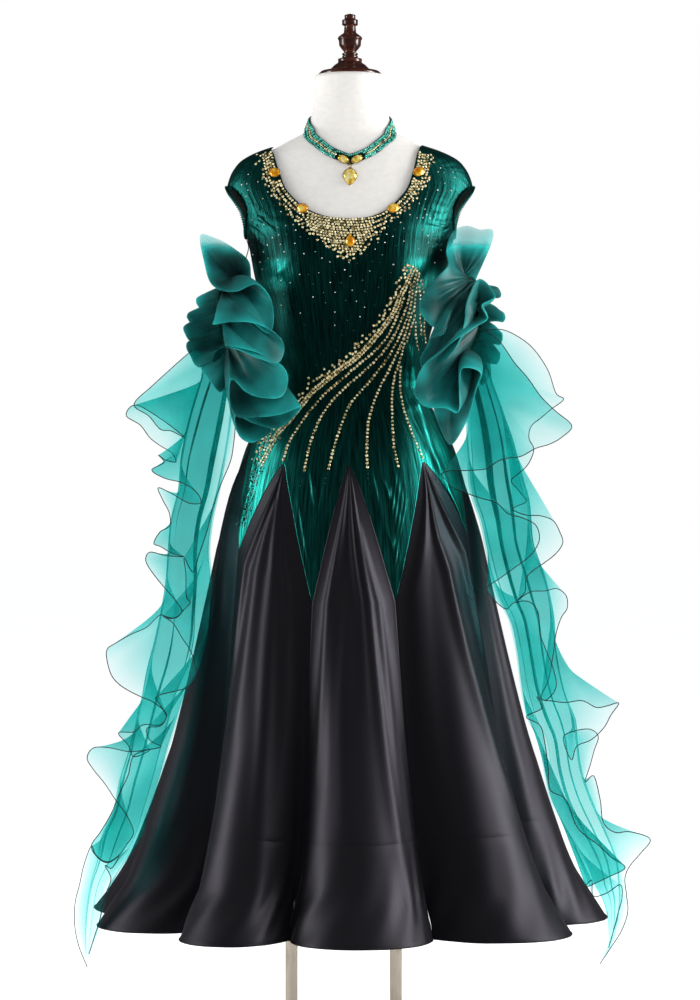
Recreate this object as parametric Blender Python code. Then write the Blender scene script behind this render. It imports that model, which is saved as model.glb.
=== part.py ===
"""Ballroom dance dress on a two-post dress form, with its choker and its pair of arm floats.

Metres, +Z up, front towards -Y, +X on the viewer's right. The origin is on the floor under the base plate,
straight below the form's neck. Left and right in names are the wearer's.

Angles round the body are in degrees: 0 is the front, 90 is +X, 180 the back. Every cloth panel is a thin
wall laid on one smooth surface, so that neighbours meet along the same seam lines.
"""

import math

import bmesh
import bpy
import numpy as np
from mathutils import Matrix, Vector

# ---------------------------------------------------------------- driving dimensions
CLOTH = 0.0015  # foil jersey and satin walls
SHEER = 0.0010  # organza walls
SEAM = 0.0003  # gap left between two panels at a seam
CLEAR = 0.0004  # gap between pieces that lie on each other
ROUND = 2 / 2.2  # exponent of the body's rounded sections
WELD = 1e-5  # points nearer than this are one

# Inside of the dress: bodice down to the hips, then the depths of the valleys between the skirt's flutes.
# height, half_width, front, back
BODY = [
    (0.235, 0.345, 0.325, 0.345),
    (0.345, 0.300, 0.280, 0.300),
    (0.500, 0.265, 0.243, 0.262),
    (0.650, 0.243, 0.215, 0.236),
    (0.780, 0.226, 0.190, 0.208),
    (0.900, 0.210, 0.160, 0.175),
    (1.000, 0.188, 0.132, 0.145),
    (1.045, 0.172, 0.117, 0.130),
    (1.090, 0.146, 0.102, 0.108),
    (1.137, 0.123, 0.092, 0.086),
    (1.185, 0.126, 0.094, 0.086),
    (1.230, 0.137, 0.102, 0.094),
    (1.280, 0.151, 0.108, 0.104),
    (1.331, 0.163, 0.112, 0.110),
    (1.396, 0.176, 0.106, 0.112),
    (1.440, 0.191, 0.094, 0.108),
    (1.480, 0.209, 0.078, 0.096),
    (1.496, 0.206, 0.073, 0.088),
    (1.512, 0.198, 0.068, 0.080),
    (1.529, 0.181, 0.064, 0.073),
    (1.543, 0.151, 0.061, 0.067),
    (1.550, 0.130, 0.060, 0.064),
    (1.560, 0.105, 0.058, 0.062),
]
BUST_RISE, BUST_OUT, BUST_UP = 0.024, 0.092, 1.335  # how far each cup stands out, and its centre
BUST_WIDE, BUST_TALL = 0.064, 0.066

# Dress form: hips and neck; from FORM_FROM to FORM_TO it follows the body at FIT inside it.
FIT, FORM_FROM, FORM_TO = 0.0040, 1.0, 1.4
FORM_HIPS = [
    (0.860, 0.150, 0.100, 0.105),
    (0.866, 0.168, 0.114, 0.122),
    (0.885, 0.181, 0.124, 0.135),
    (0.930, 0.187, 0.128, 0.141),
]
FORM_NECK = [
    (1.440, 0.168, 0.0915, 0.104),
    (1.480, 0.170, 0.0755, 0.092),
    (1.505, 0.178, 0.0680, 0.081),
    (1.522, 0.170, 0.0635, 0.073),
    (1.536, 0.155, 0.0600, 0.067),
    (1.549, 0.126, 0.0575, 0.062),
    (1.558, 0.110, 0.0560, 0.060),
    (1.575, 0.079, 0.0540, 0.059),
    (1.590, 0.071, 0.0540, 0.059),
    (1.605, 0.066, 0.0550, 0.060),
    (1.630, 0.061, 0.0560, 0.060),
    (1.673, 0.060, 0.0570, 0.060),
]
FORM_COLUMNS = 36
FORM_ROW = 0.045  # rows further apart than this get one between them

# Skirt: ten gores, each a point at its top that opens into one flute at the hem.
# apex_deg, apex_height, flute_depth, lean_deg
GORES = [
    (-72.0, 1.040, 0.090, -2.0),
    (-34.2, 1.005, 0.095, 1.5),
    (-0.4, 1.002, 0.085, -1.0),
    (39.0, 1.008, 0.100, 2.0),
    (74.0, 1.005, 0.080, 2.5),
    (108.0, 1.030, 0.090, -1.5),
    (144.0, 1.010, 0.085, 2.0),
    (180.0, 1.000, 0.095, 0.0),
    (216.0, 1.010, 0.085, -2.0),
    (252.0, 1.035, 0.090, 1.5),
]
# The valley after each gore, which is also where a bodice point ends: tip_deg, tip_height, hem_deg
VALLEYS = [
    (-58.0, 0.858, -46.0),
    (-14.0, 0.772, -14.4),
    (17.2, 0.775, 20.7),
    (68.0, 0.886, 63.5),
    (92.0, 0.860, 96.0),
    (126.0, 0.800, 128.0),
    (162.0, 0.790, 163.0),
    (198.0, 0.790, 202.0),
    (234.0, 0.800, 238.0),
    (269.0, 0.860, 278.0),
]
HEM, BAND = 0.235, 0.345  # heights of the hem and of the hem band's seam
BAND_FLARE = 0.014
POINT_CURVE = 0.8  # below 1, a bodice point narrows fast and then runs out slim
PINCH = 0.10  # how far a flute's sides close over its valley at the hem
FLUTE_START = 1.25  # above 1, a flute opens slowly under its apex and faster at the hem
GORE_STEPS = 8  # columns across a gore
LOBE_POWER = 0.75  # below 1, a flute is fuller than a cosine
DEEPEST_FLUTE, SKIRT_TOP = 0.105, 1.04  # what hangs beside the skirt keeps clear of these
SHOULDER_CLEAR = 1.42  # above this height nothing hangs beside the dress
HANG_CLEAR = 0.006  # gap between the dress and the organza hanging beside it
POINT_ROWS = 4  # rows of points down a bodice point, its tip included

# Shoulder parts of the bodice, from its chest line to the shoulder seam: neck edge, then armhole edge.
# neck_deg, neck_height, arm_deg, arm_height
FRONT_STRAP = {
    "right": [
        (0.0, 1.418, 90.0, 1.396),
        (10.0, 1.4215, 82.0, 1.405),
        (21.0, 1.4365, 72.0, 1.420),
        (28.0, 1.463, 66.0, 1.443),
        (34.0, 1.502, 65.5, 1.464),
        (45.0, 1.5315, 72.0, 1.4765),
        (68.0, 1.545, 81.0, 1.4795),
        (90.0, 1.5495, 90.0, 1.480),
    ],
    "left": [
        (0.0, 1.418, 90.0, 1.396),
        (9.0, 1.4215, 82.0, 1.405),
        (18.0, 1.4365, 72.0, 1.420),
        (24.2, 1.463, 66.0, 1.443),
        (29.5, 1.502, 65.5, 1.464),
        (38.0, 1.5315, 72.0, 1.4765),
        (58.0, 1.547, 81.0, 1.4795),
        (90.0, 1.5525, 90.0, 1.480),
    ],
}
BACK_STRAP = {
    "right": [
        (180.0, 1.448, 90.0, 1.396),
        (158.0, 1.456, 101.0, 1.416),
        (146.0, 1.474, 104.0, 1.440),
        (138.0, 1.502, 104.0, 1.462),
        (126.0, 1.530, 98.0, 1.474),
        (108.0, 1.545, 93.0, 1.479),
        (90.0, 1.5495, 90.0, 1.480),
    ],
    "left": [
        (180.0, 1.448, 90.0, 1.396),
        (159.0, 1.456, 101.0, 1.416),
        (148.0, 1.474, 104.0, 1.440),
        (140.0, 1.502, 104.0, 1.462),
        (129.0, 1.531, 98.0, 1.474),
        (112.0, 1.547, 93.0, 1.479),
        (90.0, 1.5525, 90.0, 1.480),
    ],
}
BODICE_LEVELS = [1.350, 1.305, 1.240, 1.137, 1.085]
STRAP_COLUMNS = 10  # columns from the neck edge to the armhole, and from the front's middle to its side
ARM_EDGE = 0.006  # width of the binding inside each armhole
ARM_CENTRE = (0.186, 0.004, 1.440)

# Choker, lying CHOKER_LIFT off the form's neck: deg, low edge, high edge
CHOKER_LIFT = 0.0016
CHOKER = [
    (0.0, 1.5120, 1.5310),
    (10.0, 1.5260, 1.5430),
    (20.0, 1.5400, 1.5550),
    (40.0, 1.5570, 1.5700),
    (60.0, 1.5690, 1.5850),
    (90.0, 1.5800, 1.6010),
    (135.0, 1.5900, 1.6110),
    (180.0, 1.5930, 1.6140),
]

# Stones set on the neckline: deg, height, half_width, half_height, depth, turn_deg, pointed
NECK_STONES = {
    "stone_shoulder_right": (-36.6, 1.500, 0.0100, 0.0078, 0.0050, -28.0, 0.0),
    "stone_shoulder_left": (32.6, 1.501, 0.0100, 0.0078, 0.0050, 28.0, 0.0),
    "stone_chest_right": (-22.8, 1.436, 0.0100, 0.0078, 0.0050, -28.0, 0.0),
    "stone_chest_left": (20.4, 1.436, 0.0100, 0.0078, 0.0050, 28.0, 0.0),
    "stone_centre": (0.0, 1.380, 0.0080, 0.0112, 0.0055, 0.0, 0.75),
}
CHOKER_STONES = {
    "choker_stone_right": (-2.9, 1.5215, 0.0098, 0.0062, 0.0040, -28.0, 0.0),
    "choker_stone_left": (2.9, 1.5215, 0.0098, 0.0062, 0.0040, 28.0, 0.0),
}
CUT = ((1.0, 0.30), (0.60, 0.70))  # girdle and crown: width of the upper face, share of the depth
LARGE_SIDES, SMALL_SIDES = 10, 8

# Pendant: a fixed loop under the choker's point, a bail through it, and the stone below.
LOOP_R, WIRE = 0.0017, 0.0007
WIRE_STEPS, WIRE_SIDES = 12, 6
LOOP_RAISED = 0.001  # its centre over the choker's lowest point
BAIL_R = 0.0030
PENDANT_LEAN = 11.5  # degrees from upright, as it lies on the chest
PENDANT_HALF, PENDANT_TALL, PENDANT_DEEP = 0.0118, 0.0285, 0.0060
PENDANT_BEHIND = 0.35  # share of the stone's depth behind its bail
PENDANT_POINTED = 0.55

# Arm floats. The wearer's right is at -X.
SIDES = {"right": -1.0, "left": 1.0}
RING_OUT, RING_FORE, RING_UP = 0.195, -0.050, 1.262
RING_R, RING_WIDE, RING_TURN = 0.062, 0.018, 20.0
RUFFLE_GAP = 0.0011  # from the armband to the middle of the organza on it
# Ruffle folds round the armband, front and back: place on the ring, swing away from the dress, reach.
# ring_deg, swing_deg, reach
RUFFLE_FRONT = {
    "right": [
        (80.0, 30.0, 0.070),
        (95.0, 46.0, 0.091),
        (115.0, 0.0, 0.060),
        (138.0, -55.0, 0.074),
        (155.0, -10.0, 0.050),
        (172.0, 30.0, 0.045),
        (192.0, -30.0, 0.070),
        (212.0, -62.0, 0.115),
        (226.0, -19.0, 0.060),
        (238.0, -49.0, 0.120),
        (250.0, -6.0, 0.105),
        (262.0, -51.0, 0.155),
    ],
    "left": [
        (80.0, -25.0, 0.060),
        (95.0, 18.0, 0.090),
        (112.0, -15.0, 0.060),
        (130.0, 40.0, 0.055),
        (150.0, -30.0, 0.060),
        (172.0, -74.0, 0.108),
        (190.0, -40.0, 0.055),
        (207.0, -15.0, 0.050),
        (226.0, -52.0, 0.145),
        (238.0, -10.0, 0.080),
        (250.0, -34.0, 0.115),
        (262.0, -8.0, 0.155),
    ],
}
RUFFLE_BACK = {
    "right": [
        (-46.0, 5.0, 0.060),
        (-30.0, 48.0, 0.070),
        (-12.0, -12.0, 0.055),
        (8.0, 52.0, 0.066),
        (30.0, -15.0, 0.048),
        (50.0, 35.0, 0.050),
    ],
    "left": [
        (-46.0, 0.0, 0.055),
        (-28.0, 44.0, 0.060),
        (-10.0, -10.0, 0.050),
        (10.0, 46.0, 0.058),
        (30.0, -15.0, 0.046),
        (50.0, 30.0, 0.052),
    ],
}
RUFFLE_STEPS = 3  # columns for each fold in the tables
RUFFLE_ROWS = (0.0, 0.45, 1.0)  # shares of the reach at which a ruffle has a row
FLOAT_RING_DEG = (-52.0, -86.0)  # where on the armband the float's top edge is gathered
# Float panel: height, out from the centre, forward (negative y), half_width
FLOAT = {
    "right": [
        (0.160, 0.438, -0.208, 0.002),
        (0.240, 0.426, -0.202, 0.011),
        (0.320, 0.401, -0.192, 0.020),
        (0.428, 0.352, -0.172, 0.036),
        (0.600, 0.308, -0.140, 0.054),
        (0.772, 0.291, -0.100, 0.050),
        (0.910, 0.274, -0.060, 0.050),
        (1.030, 0.259, -0.030, 0.058),
        (1.120, 0.228, -0.026, 0.044),
    ],
    "left": [
        (0.165, 0.413, -0.222, 0.002),
        (0.240, 0.421, -0.212, 0.014),
        (0.320, 0.415, -0.197, 0.026),
        (0.428, 0.376, -0.175, 0.042),
        (0.600, 0.328, -0.142, 0.056),
        (0.772, 0.305, -0.100, 0.054),
        (0.910, 0.278, -0.060, 0.054),
        (1.030, 0.258, -0.030, 0.056),
        (1.120, 0.230, -0.026, 0.045),
    ],
}
FLOAT_ACROSS = (0.8, 0.6)  # direction across a float panel: inwards and forwards
PLEATS, PLEAT_DEEP = 1.5, 0.010
FLOAT_ROWS, FLOAT_STEPS = 10, 6
FLOAT_GATHER = 0.55  # place of the row between the armband and the panel
# Flounce down each long edge of a float: height, swing_deg off the panel, reach
FLOUNCE_OUTER = {
    "right": [
        (0.300, 20.0, 0.022),
        (0.342, 40.0, 0.030),
        (0.385, 5.0, 0.034),
        (0.440, 62.0, 0.040),
        (0.514, 30.0, 0.062),
        (0.580, -12.0, 0.040),
        (0.660, 38.0, 0.066),
        (0.730, 80.0, 0.050),
        (0.800, 20.0, 0.056),
        (0.850, 70.0, 0.040),
        (0.905, -5.0, 0.040),
        (0.975, 45.0, 0.054),
        (1.040, 85.0, 0.055),
        (1.090, 32.0, 0.092),
        (1.130, 5.0, 0.060),
        (1.160, 40.0, 0.025),
    ],
    "left": [
        (0.300, 20.0, 0.030),
        (0.355, 38.0, 0.076),
        (0.410, -5.0, 0.040),
        (0.470, 70.0, 0.045),
        (0.535, 20.0, 0.048),
        (0.595, 45.0, 0.076),
        (0.655, -10.0, 0.045),
        (0.715, 75.0, 0.040),
        (0.770, 30.0, 0.046),
        (0.840, -10.0, 0.040),
        (0.910, 50.0, 0.055),
        (0.970, -5.0, 0.045),
        (1.030, 80.0, 0.055),
        (1.090, 35.0, 0.085),
        (1.130, 5.0, 0.060),
        (1.160, 40.0, 0.025),
    ],
}
FLOUNCE_INNER = {
    "right": [
        (0.330, 30.0, 0.020),
        (0.430, 75.0, 0.036),
        (0.520, 15.0, 0.034),
        (0.610, 80.0, 0.045),
        (0.690, 15.0, 0.036),
        (0.780, 85.0, 0.050),
        (0.860, 20.0, 0.040),
        (0.940, 85.0, 0.050),
        (1.020, 30.0, 0.040),
        (1.100, 60.0, 0.020),
    ],
    "left": [
        (0.260, 40.0, 0.020),
        (0.350, 15.0, 0.030),
        (0.440, 80.0, 0.045),
        (0.530, 20.0, 0.040),
        (0.620, 85.0, 0.050),
        (0.700, 15.0, 0.040),
        (0.780, 85.0, 0.050),
        (0.860, 15.0, 0.040),
        (0.950, 80.0, 0.050),
        (1.030, 30.0, 0.040),
        (1.100, 60.0, 0.020),
    ],
}
FLOUNCE_STEPS = 2  # columns for each fold in the tables
FLOUNCE_LEAST = 0.010  # least reach
FLOUNCE_GAP = 0.0025  # gap between a flounce and its panel
FLOUNCE_DROOP = 0.020  # how far its free edge hangs below its sewn edge
LOOP_WIDE, LOOP_FORE, LOOP_DEG = 0.008, -0.002, 66.0  # width, place on the dress and on the armband
LOOP_SEWN = (1.393, 1.378)  # heights between which it lies on the dress

# Stand
POST_X = (-0.1006, 0.0788)
POST_R, POST_SIDES = 0.0105, 20
PLATE_WIDE, PLATE_DEEP, PLATE_THICK = 0.520, 0.380, 0.012
PLATE_EDGE = 0.003

# Turned finial, from its underside up: radius, height above the neck
FINIAL = [
    (0.0540, 0.000),
    (0.0543, 0.003),
    (0.0500, 0.007),
    (0.0344, 0.0105),
    (0.0267, 0.0185),
    (0.0205, 0.0225),
    (0.0205, 0.0290),
    (0.0136, 0.0305),
    (0.0136, 0.0335),
    (0.0120, 0.0350),
    (0.0136, 0.0365),
    (0.0136, 0.0385),
    (0.0095, 0.0400),
    (0.0150, 0.0470),
    (0.0186, 0.0520),
    (0.0193, 0.0610),
    (0.0212, 0.0640),
    (0.0200, 0.0670),
    (0.0107, 0.0740),
    (0.0096, 0.0860),
    (0.0136, 0.0875),
    (0.0136, 0.0960),
    (0.0095, 0.0970),
    (0.0094, 0.1045),
]
FINIAL_SIDES = 16
FINIAL_DOME = 0.0028  # how far the rounded top stands over the last row

MATERIALS = {  # red, green, blue, roughness, metallic
    "foil": (0.010, 0.190, 0.150, 0.32, 0.65),
    "satin": (0.012, 0.012, 0.014, 0.38, 0.0),
    "organza": (0.020, 0.430, 0.380, 0.55, 0.0),
    "stone": (0.900, 0.480, 0.020, 0.08, 0.0),
    "gold": (0.850, 0.620, 0.250, 0.25, 1.0),
    "linen": (0.830, 0.800, 0.760, 0.90, 0.0),
    "mahogany": (0.100, 0.020, 0.012, 0.25, 0.0),
    "post": (0.780, 0.700, 0.580, 0.45, 0.0),
}


# ---------------------------------------------------------------- surfaces
def along(table, at):
    """Every column of a table at the places `at`, on a smooth curve through its rows."""
    table = np.asarray(table, float)
    keys, values = table[:, 0], table[:, 1:]
    slopes = np.gradient(values, keys, axis=0)
    at = np.clip(np.asarray(at, float), keys[0], keys[-1])
    low = np.clip(np.searchsorted(keys, at, side="right") - 1, 0, len(keys) - 2)
    span = (keys[low + 1] - keys[low])[..., None]
    t = (at - keys[low])[..., None] / span
    start = (1 + 2 * t) * (1 - t) ** 2 * values[low] + t * (1 - t) ** 2 * span * slopes[low]
    end = t**2 * (3 - 2 * t) * values[low + 1] - t**2 * (1 - t) * span * slopes[low + 1]
    return start + end


def section(table, deg, height):
    """Points of the rounded sections that a table of half width, front and back gives."""
    height = np.asarray(height, float) + 0 * np.asarray(deg, float)
    width, front, back = np.moveaxis(along(table, height), -1, 0)
    side, ahead = np.sin(np.radians(deg)), np.cos(np.radians(deg))
    x = width * np.sign(side) * np.abs(side) ** ROUND
    y = -np.where(ahead > 0, front, back) * np.sign(ahead) * np.abs(ahead) ** ROUND
    swell = sum(np.exp(-(((x - s * BUST_OUT) / BUST_WIDE) ** 2)) for s in (-1, 1))
    swell = swell * np.exp(-(((height - BUST_UP) / BUST_TALL) ** 2))
    y = y - BUST_RISE * swell * np.clip(ahead, 0, 1)
    return np.stack([x, y, height], -1)


def body(deg, height):
    return section(BODY, deg, height)


FORM = (
    FORM_HIPS
    + [(z, w - FIT, f - FIT, b - FIT) for z, w, f, b in BODY if FORM_FROM <= z <= FORM_TO]
    + FORM_NECK
)


def form(deg, height):
    return section(FORM, deg, height)


def outward(surface, deg, height, step=0.02):
    """Unit normals of a surface of (deg, height), pointing away from the body."""
    round_it = surface(deg + step, height) - surface(deg - step, height)
    up = surface(deg, height + step / 100) - surface(deg, height - step / 100)
    return unit(np.cross(round_it, up))


def unit(vectors):
    return vectors / np.linalg.norm(vectors, axis=-1, keepdims=True)


def clear_of_dress(points, gap):
    """Points moved straight out from the axis until they clear the dress and its flutes."""
    x, y, z = np.moveaxis(points, -1, 0)
    width, front, back = np.moveaxis(along(BODY, z), -1, 0)
    fall = np.clip((SKIRT_TOP - z) / (SKIRT_TOP - HEM), 0, 1)
    flute = DEEPEST_FLUTE * fall**FLUTE_START + gap + CLOTH
    depth = np.where(y < 0, front, back) + flute
    power = 2 / ROUND
    inside = (np.abs(x / (width + flute)) ** power + np.abs(y / depth) ** power) ** (1 / power)
    nearest = 0.2  # share of the way out below which a point is not moved further
    push = np.where((inside < 1) & (z < SHOULDER_CLEAR), 1 / np.maximum(inside, nearest), 1)
    return np.stack([x * push, y * push, z], -1)


# ---------------------------------------------------------------- seam lines of the skirt
def apex_line(deg):
    """Height at which the bodice's points begin, over the gores' tops."""
    tops = np.array(GORES)
    degs = np.concatenate([tops[:, 0] - 360, tops[:, 0], tops[:, 0] + 360])
    return np.interp(deg, degs, np.tile(tops[:, 1], 3))


def valley_of(gore, right):
    """The valley on one side of a gore, its angles counted near that gore."""
    number = gore if right else gore - 1
    tip_deg, tip, hem_deg = VALLEYS[number]
    turn = -360 if number < 0 else 0
    return tip_deg + turn, tip, hem_deg + turn


def seam(gore, right, down):
    """Angle and height on one side of a gore. down: 0 apex, 1 point's tip, 2 band seam, 3 hem."""
    apex_deg, apex = GORES[gore][:2]
    tip_deg, tip, hem_deg = valley_of(gore, right)
    f = np.clip(down, 0, 1)
    height = apex + f * (tip - apex) + np.clip(down - 1, 0, 1) * (BAND - tip)
    height = height + np.clip(down - 2, 0, 1) * (HEM - BAND)
    drop = np.clip((tip - height) / (tip - HEM), 0, 1)
    deg = apex_deg + (tip_deg - apex_deg) * f**POINT_CURVE + drop * (hem_deg - tip_deg)
    return deg, height


def gore_surface(gore, down, across):
    """Points of one gore; across runs from 0 at its left seam to 1 at its right seam."""
    apex, depth, lean = GORES[gore][1:]
    left_deg, left = seam(gore, False, down)
    right_deg, right = seam(gore, True, down)
    height = left + (right - left) * across
    fall = np.clip((apex - height) / (apex - HEM), 0, 1)
    lobe = (0.5 - 0.5 * np.cos(2 * np.pi * across)) ** LOBE_POWER
    pinch = PINCH * np.clip(down - 1, 0, 2) / 2
    share = across - pinch * np.sin(2 * np.pi * across)
    deg = left_deg + (right_deg - left_deg) * share + lean * lobe * fall
    out = (depth * fall**FLUTE_START + BAND_FLARE * np.clip(down - 2, 0, 1) ** 1.5) * lobe
    away = np.stack([np.sin(np.radians(deg)), -np.cos(np.radians(deg)), 0 * deg], -1)
    return body(deg, height) + out[..., None] * away, deg, height


def gore_grid(gore, downs):
    """Grid of points and normals of a gore, a row for each place down it."""
    down, across = np.meshgrid(downs, np.linspace(0, 1, GORE_STEPS + 1), indexing="ij")
    points, deg, height = gore_surface(gore, down, across)
    step = 0.01
    inner = np.clip(across, 2 * step, 1 - 2 * step)
    lower = np.clip(down, 2 * step, 3 - 2 * step)
    right = gore_surface(gore, lower, inner + step)[0] - gore_surface(gore, lower, inner - step)[0]
    fallen = gore_surface(gore, lower + step, inner)[0] - gore_surface(gore, lower - step, inner)[0]
    normals = unit(np.cross(fallen, right))
    at_seam = (across == 0) | (across == 1) | (down == 0)
    return points, np.where(at_seam[..., None], outward(body, deg, height), normals)


# ---------------------------------------------------------------- building solids
def material(name):
    if name in bpy.data.materials:
        return bpy.data.materials[name]
    red, green, blue, rough, metal = MATERIALS[name]
    made = bpy.data.materials.new(name)
    made.use_nodes = True
    made.diffuse_color = (red, green, blue, 1)
    shader = made.node_tree.nodes["Principled BSDF"]
    shader.inputs["Base Color"].default_value = (red, green, blue, 1)
    shader.inputs["Roughness"].default_value = rough
    shader.inputs["Metallic"].default_value = metal
    return made


def add_object(name, bm, finish):
    mesh = bpy.data.meshes.new(name)
    bm.to_mesh(mesh)
    bm.free()
    mesh.materials.append(material(finish))
    made = bpy.data.objects.new(name, mesh)
    bpy.context.scene.collection.objects.link(made)
    return made


def faces_of(ids):
    """Triangles of a grid of point numbers; collapsed sides give one triangle in place of two."""
    found = []
    for upper, lower in zip(ids[:-1], ids[1:]):
        for a, b, c, d in zip(upper[:-1], upper[1:], lower[1:], lower[:-1]):
            for face in ((a, b, c), (a, c, d)):
                if len(set(face)) == 3:
                    found.append(face)
    return found


SHARPEST = 0.08  # keeps the corner of a narrow tip from being drawn in without end


def drawn_in(points, faces):
    """Points with the open edges moved inwards, in the surface, by half a seam gap."""
    owners = {}
    for face in faces:
        for a, b, c in (face, face[1:] + face[:1], face[2:] + face[:2]):
            owners.setdefault(frozenset((a, b)), []).append((a, b, c))
    pulls = {}
    rim = [found[0] for found in owners.values() if len(found) == 1]
    for a, b, c in rim:
        edge = unit(points[b] - points[a])
        inwards = points[c] - points[a]
        inwards = unit(inwards - edge * (inwards @ edge))
        pulls.setdefault(a, []).append(inwards)
        pulls.setdefault(b, []).append(inwards)
    moved = points.copy()
    for number, (first, second) in pulls.items():
        moved[number] += (SEAM / 2) * (first + second) / max(1 + first @ second, SHARPEST)
    return moved, [(a, b) for a, b, _ in rim]


def wall(name, grids, thickness, finish, centred=False):
    """A closed cloth wall from grids of (points, normals), welded where they share points.

    The points are the cloth's inner side, or its middle where centred is set.
    """
    points, normals, faces, numbers = [], [], [], {}
    for grid, directions in grids:
        ids = []
        for row, row_directions in zip(grid, directions):
            line = []
            for point, direction in zip(row, row_directions):
                key = tuple(np.round(point / WELD).astype(int))
                if key not in numbers:
                    numbers[key] = len(points)
                    points.append(point)
                    normals.append(direction)
                line.append(numbers[key])
            ids.append(line)
        faces += faces_of(ids)
    points, rim = drawn_in(np.array(points), faces)
    normals = unit(np.array(normals)) * thickness
    base = points - normals / 2 if centred else points
    bm = bmesh.new()
    inner = [bm.verts.new(point) for point in base]
    outer = [bm.verts.new(point) for point in base + normals]
    for a, b, c in faces:
        bm.faces.new((outer[a], outer[b], outer[c]))
        bm.faces.new((inner[a], inner[c], inner[b]))
    for a, b in rim:
        bm.faces.new((outer[b], outer[a], inner[a]))
        bm.faces.new((outer[b], inner[a], inner[b]))
    bmesh.ops.recalc_face_normals(bm, faces=bm.faces)
    return add_object(name, bm, finish)


def laid(surface, degs, heights):
    """Grid of points and normals on a surface at grids of angles and heights."""
    degs, heights = np.broadcast_arrays(np.asarray(degs, float), np.asarray(heights, float))
    return surface(degs, heights), outward(surface, degs, heights)


def grid_normals(points):
    """Normals of a grid of points, from its own rows and columns."""
    down = np.gradient(points, axis=0)
    right = np.gradient(points, axis=1)
    normals = np.cross(down, right)
    size = np.linalg.norm(normals, axis=-1, keepdims=True)
    return normals / np.maximum(size, 1e-12)


# ---------------------------------------------------------------- bodice and skirt
def point_grid(valley, first, last):
    """The bodice's point over one valley, from column share `first` to `last` between its two gores."""
    left_gore, right_gore = valley, (valley + 1) % len(GORES)
    downs = np.linspace(0, 1, POINT_ROWS)
    left_deg, left = seam(left_gore, True, downs)
    right_deg, right = seam(right_gore, False, downs)
    turn = 360 * round((left_deg[-1] - right_deg[-1]) / 360)
    right_deg = right_deg + turn
    tip_share = (left_deg[-1] - left_deg[0]) / (right_deg[0] - left_deg[0])
    shares = np.array([0, tip_share / 2, tip_share, (1 + tip_share) / 2, 1])[first:last]
    degs = left_deg[:, None] + (right_deg - left_deg)[:, None] * shares
    heights = left[:, None] + (right - left)[:, None] * shares
    degs[-1], heights[-1] = left_deg[-1], left[-1]
    if last - first < 5:  # a side seam runs down the middle of this point
        middle = 2 - first
        degs[:, middle] = left_deg[-1]
        start = heights[0, middle]
        heights[:, middle] = start + downs * (left[-1] - start)
        other = 0 if middle else 2
        degs[:, 1] = (degs[:, other] + degs[:, middle]) / 2
        heights[:, 1] = (heights[:, other] + heights[:, middle]) / 2
    return laid(body, degs, heights)


def bodice(name, gores, straps):
    """Front or back of the bodice: body, points between the gores and the two shoulder parts."""
    start, end = valley_of(gores[0], False)[0], VALLEYS[gores[-1]][0]
    marks = [start]
    for gore in gores:
        marks += [GORES[gore][0], VALLEYS[gore][0]]
    marks[-1] = end
    marks = np.array(marks)
    columns = 2 * STRAP_COLUMNS + 1
    low_deg = np.interp(np.linspace(0, 1, columns), np.linspace(0, 1, len(marks)), marks)
    centre = round(marks.mean() / 180) * 180
    high_deg = np.linspace(centre - 90, centre + 90, columns)
    away = np.abs(high_deg - centre) / 90
    neck_height, arm_height = straps["right"][0][1], straps["right"][0][3]
    high = neck_height + (arm_height - neck_height) * away
    low = apex_line(low_deg)
    levels = [high, (high + BODICE_LEVELS[0]) / 2] + [0 * low + z for z in BODICE_LEVELS]
    levels += [(BODICE_LEVELS[-1] + low) / 2, low]
    heights = np.array(levels)
    share = (heights - low) / (high - low)
    degs = low_deg + (high_deg - low_deg) * share
    grids = [laid(body, degs, heights)]
    for valley in gores[:-1]:
        grids.append(point_grid(valley, 0, 5))
    first_valley = (gores[0] - 1) % len(GORES)
    first_half = point_grid(first_valley, 2, 5)
    grids += [first_half, point_grid(gores[-1], 0, 3)]
    shares = np.linspace(0, 1, STRAP_COLUMNS + 1)
    for side, outwards in SIDES.items():
        s = int(outwards) if centre == 0 else -int(outwards)
        rows = np.array(straps[side])
        neck, arm = rows[:, 0] - centre, rows[:, 2] - centre
        degs = centre + s * np.abs(neck[:, None] + (arm - neck)[:, None] * shares)
        heights = rows[:, 1:2] + (rows[:, 3:4] - rows[:, 1:2]) * shares
        grid, directions = laid(body, degs, heights)
        grids.append((grid[::-1, ::s], directions[::-1, ::s]))
    return wall(name, grids, CLOTH, "foil")


def make_dress():
    bodice("bodice_front", [0, 1, 2, 3, 4], FRONT_STRAP)
    bodice("bodice_back", [5, 6, 7, 8, 9], BACK_STRAP)
    for gore in range(len(GORES)):
        downs = np.concatenate([np.linspace(0, 1, POINT_ROWS), 1 + np.arange(1, 4) / 3])
        wall(f"gore_{gore + 1}", [gore_grid(gore, downs)], CLOTH, "satin")
    for name, gores in (("hem_band_front", range(5)), ("hem_band_back", range(5, 10))):
        grids = [gore_grid(gore, np.array([2.0, 3.0])) for gore in gores]
        wall(name, grids, CLOTH, "satin")


def make_armholes():
    """The binding inside each armhole, a flat ring narrower than the opening."""
    for name, s in SIDES.items():
        rows = FRONT_STRAP[name] + BACK_STRAP[name][-2:0:-1]
        degs = np.array([s * row[2] for row in rows] + [s * rows[0][2]])
        heights = np.array([row[3] for row in rows] + [rows[0][3]])
        edge, directions = laid(body, degs, heights)
        centre = np.array(ARM_CENTRE) * (s, 1, 1)
        inner = edge + unit(centre - edge) * ARM_EDGE
        ring = (np.array([edge, inner]), np.array([directions] * 2))
        wall(f"armhole_band_{name}", [ring], CLOTH, "foil")


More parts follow.
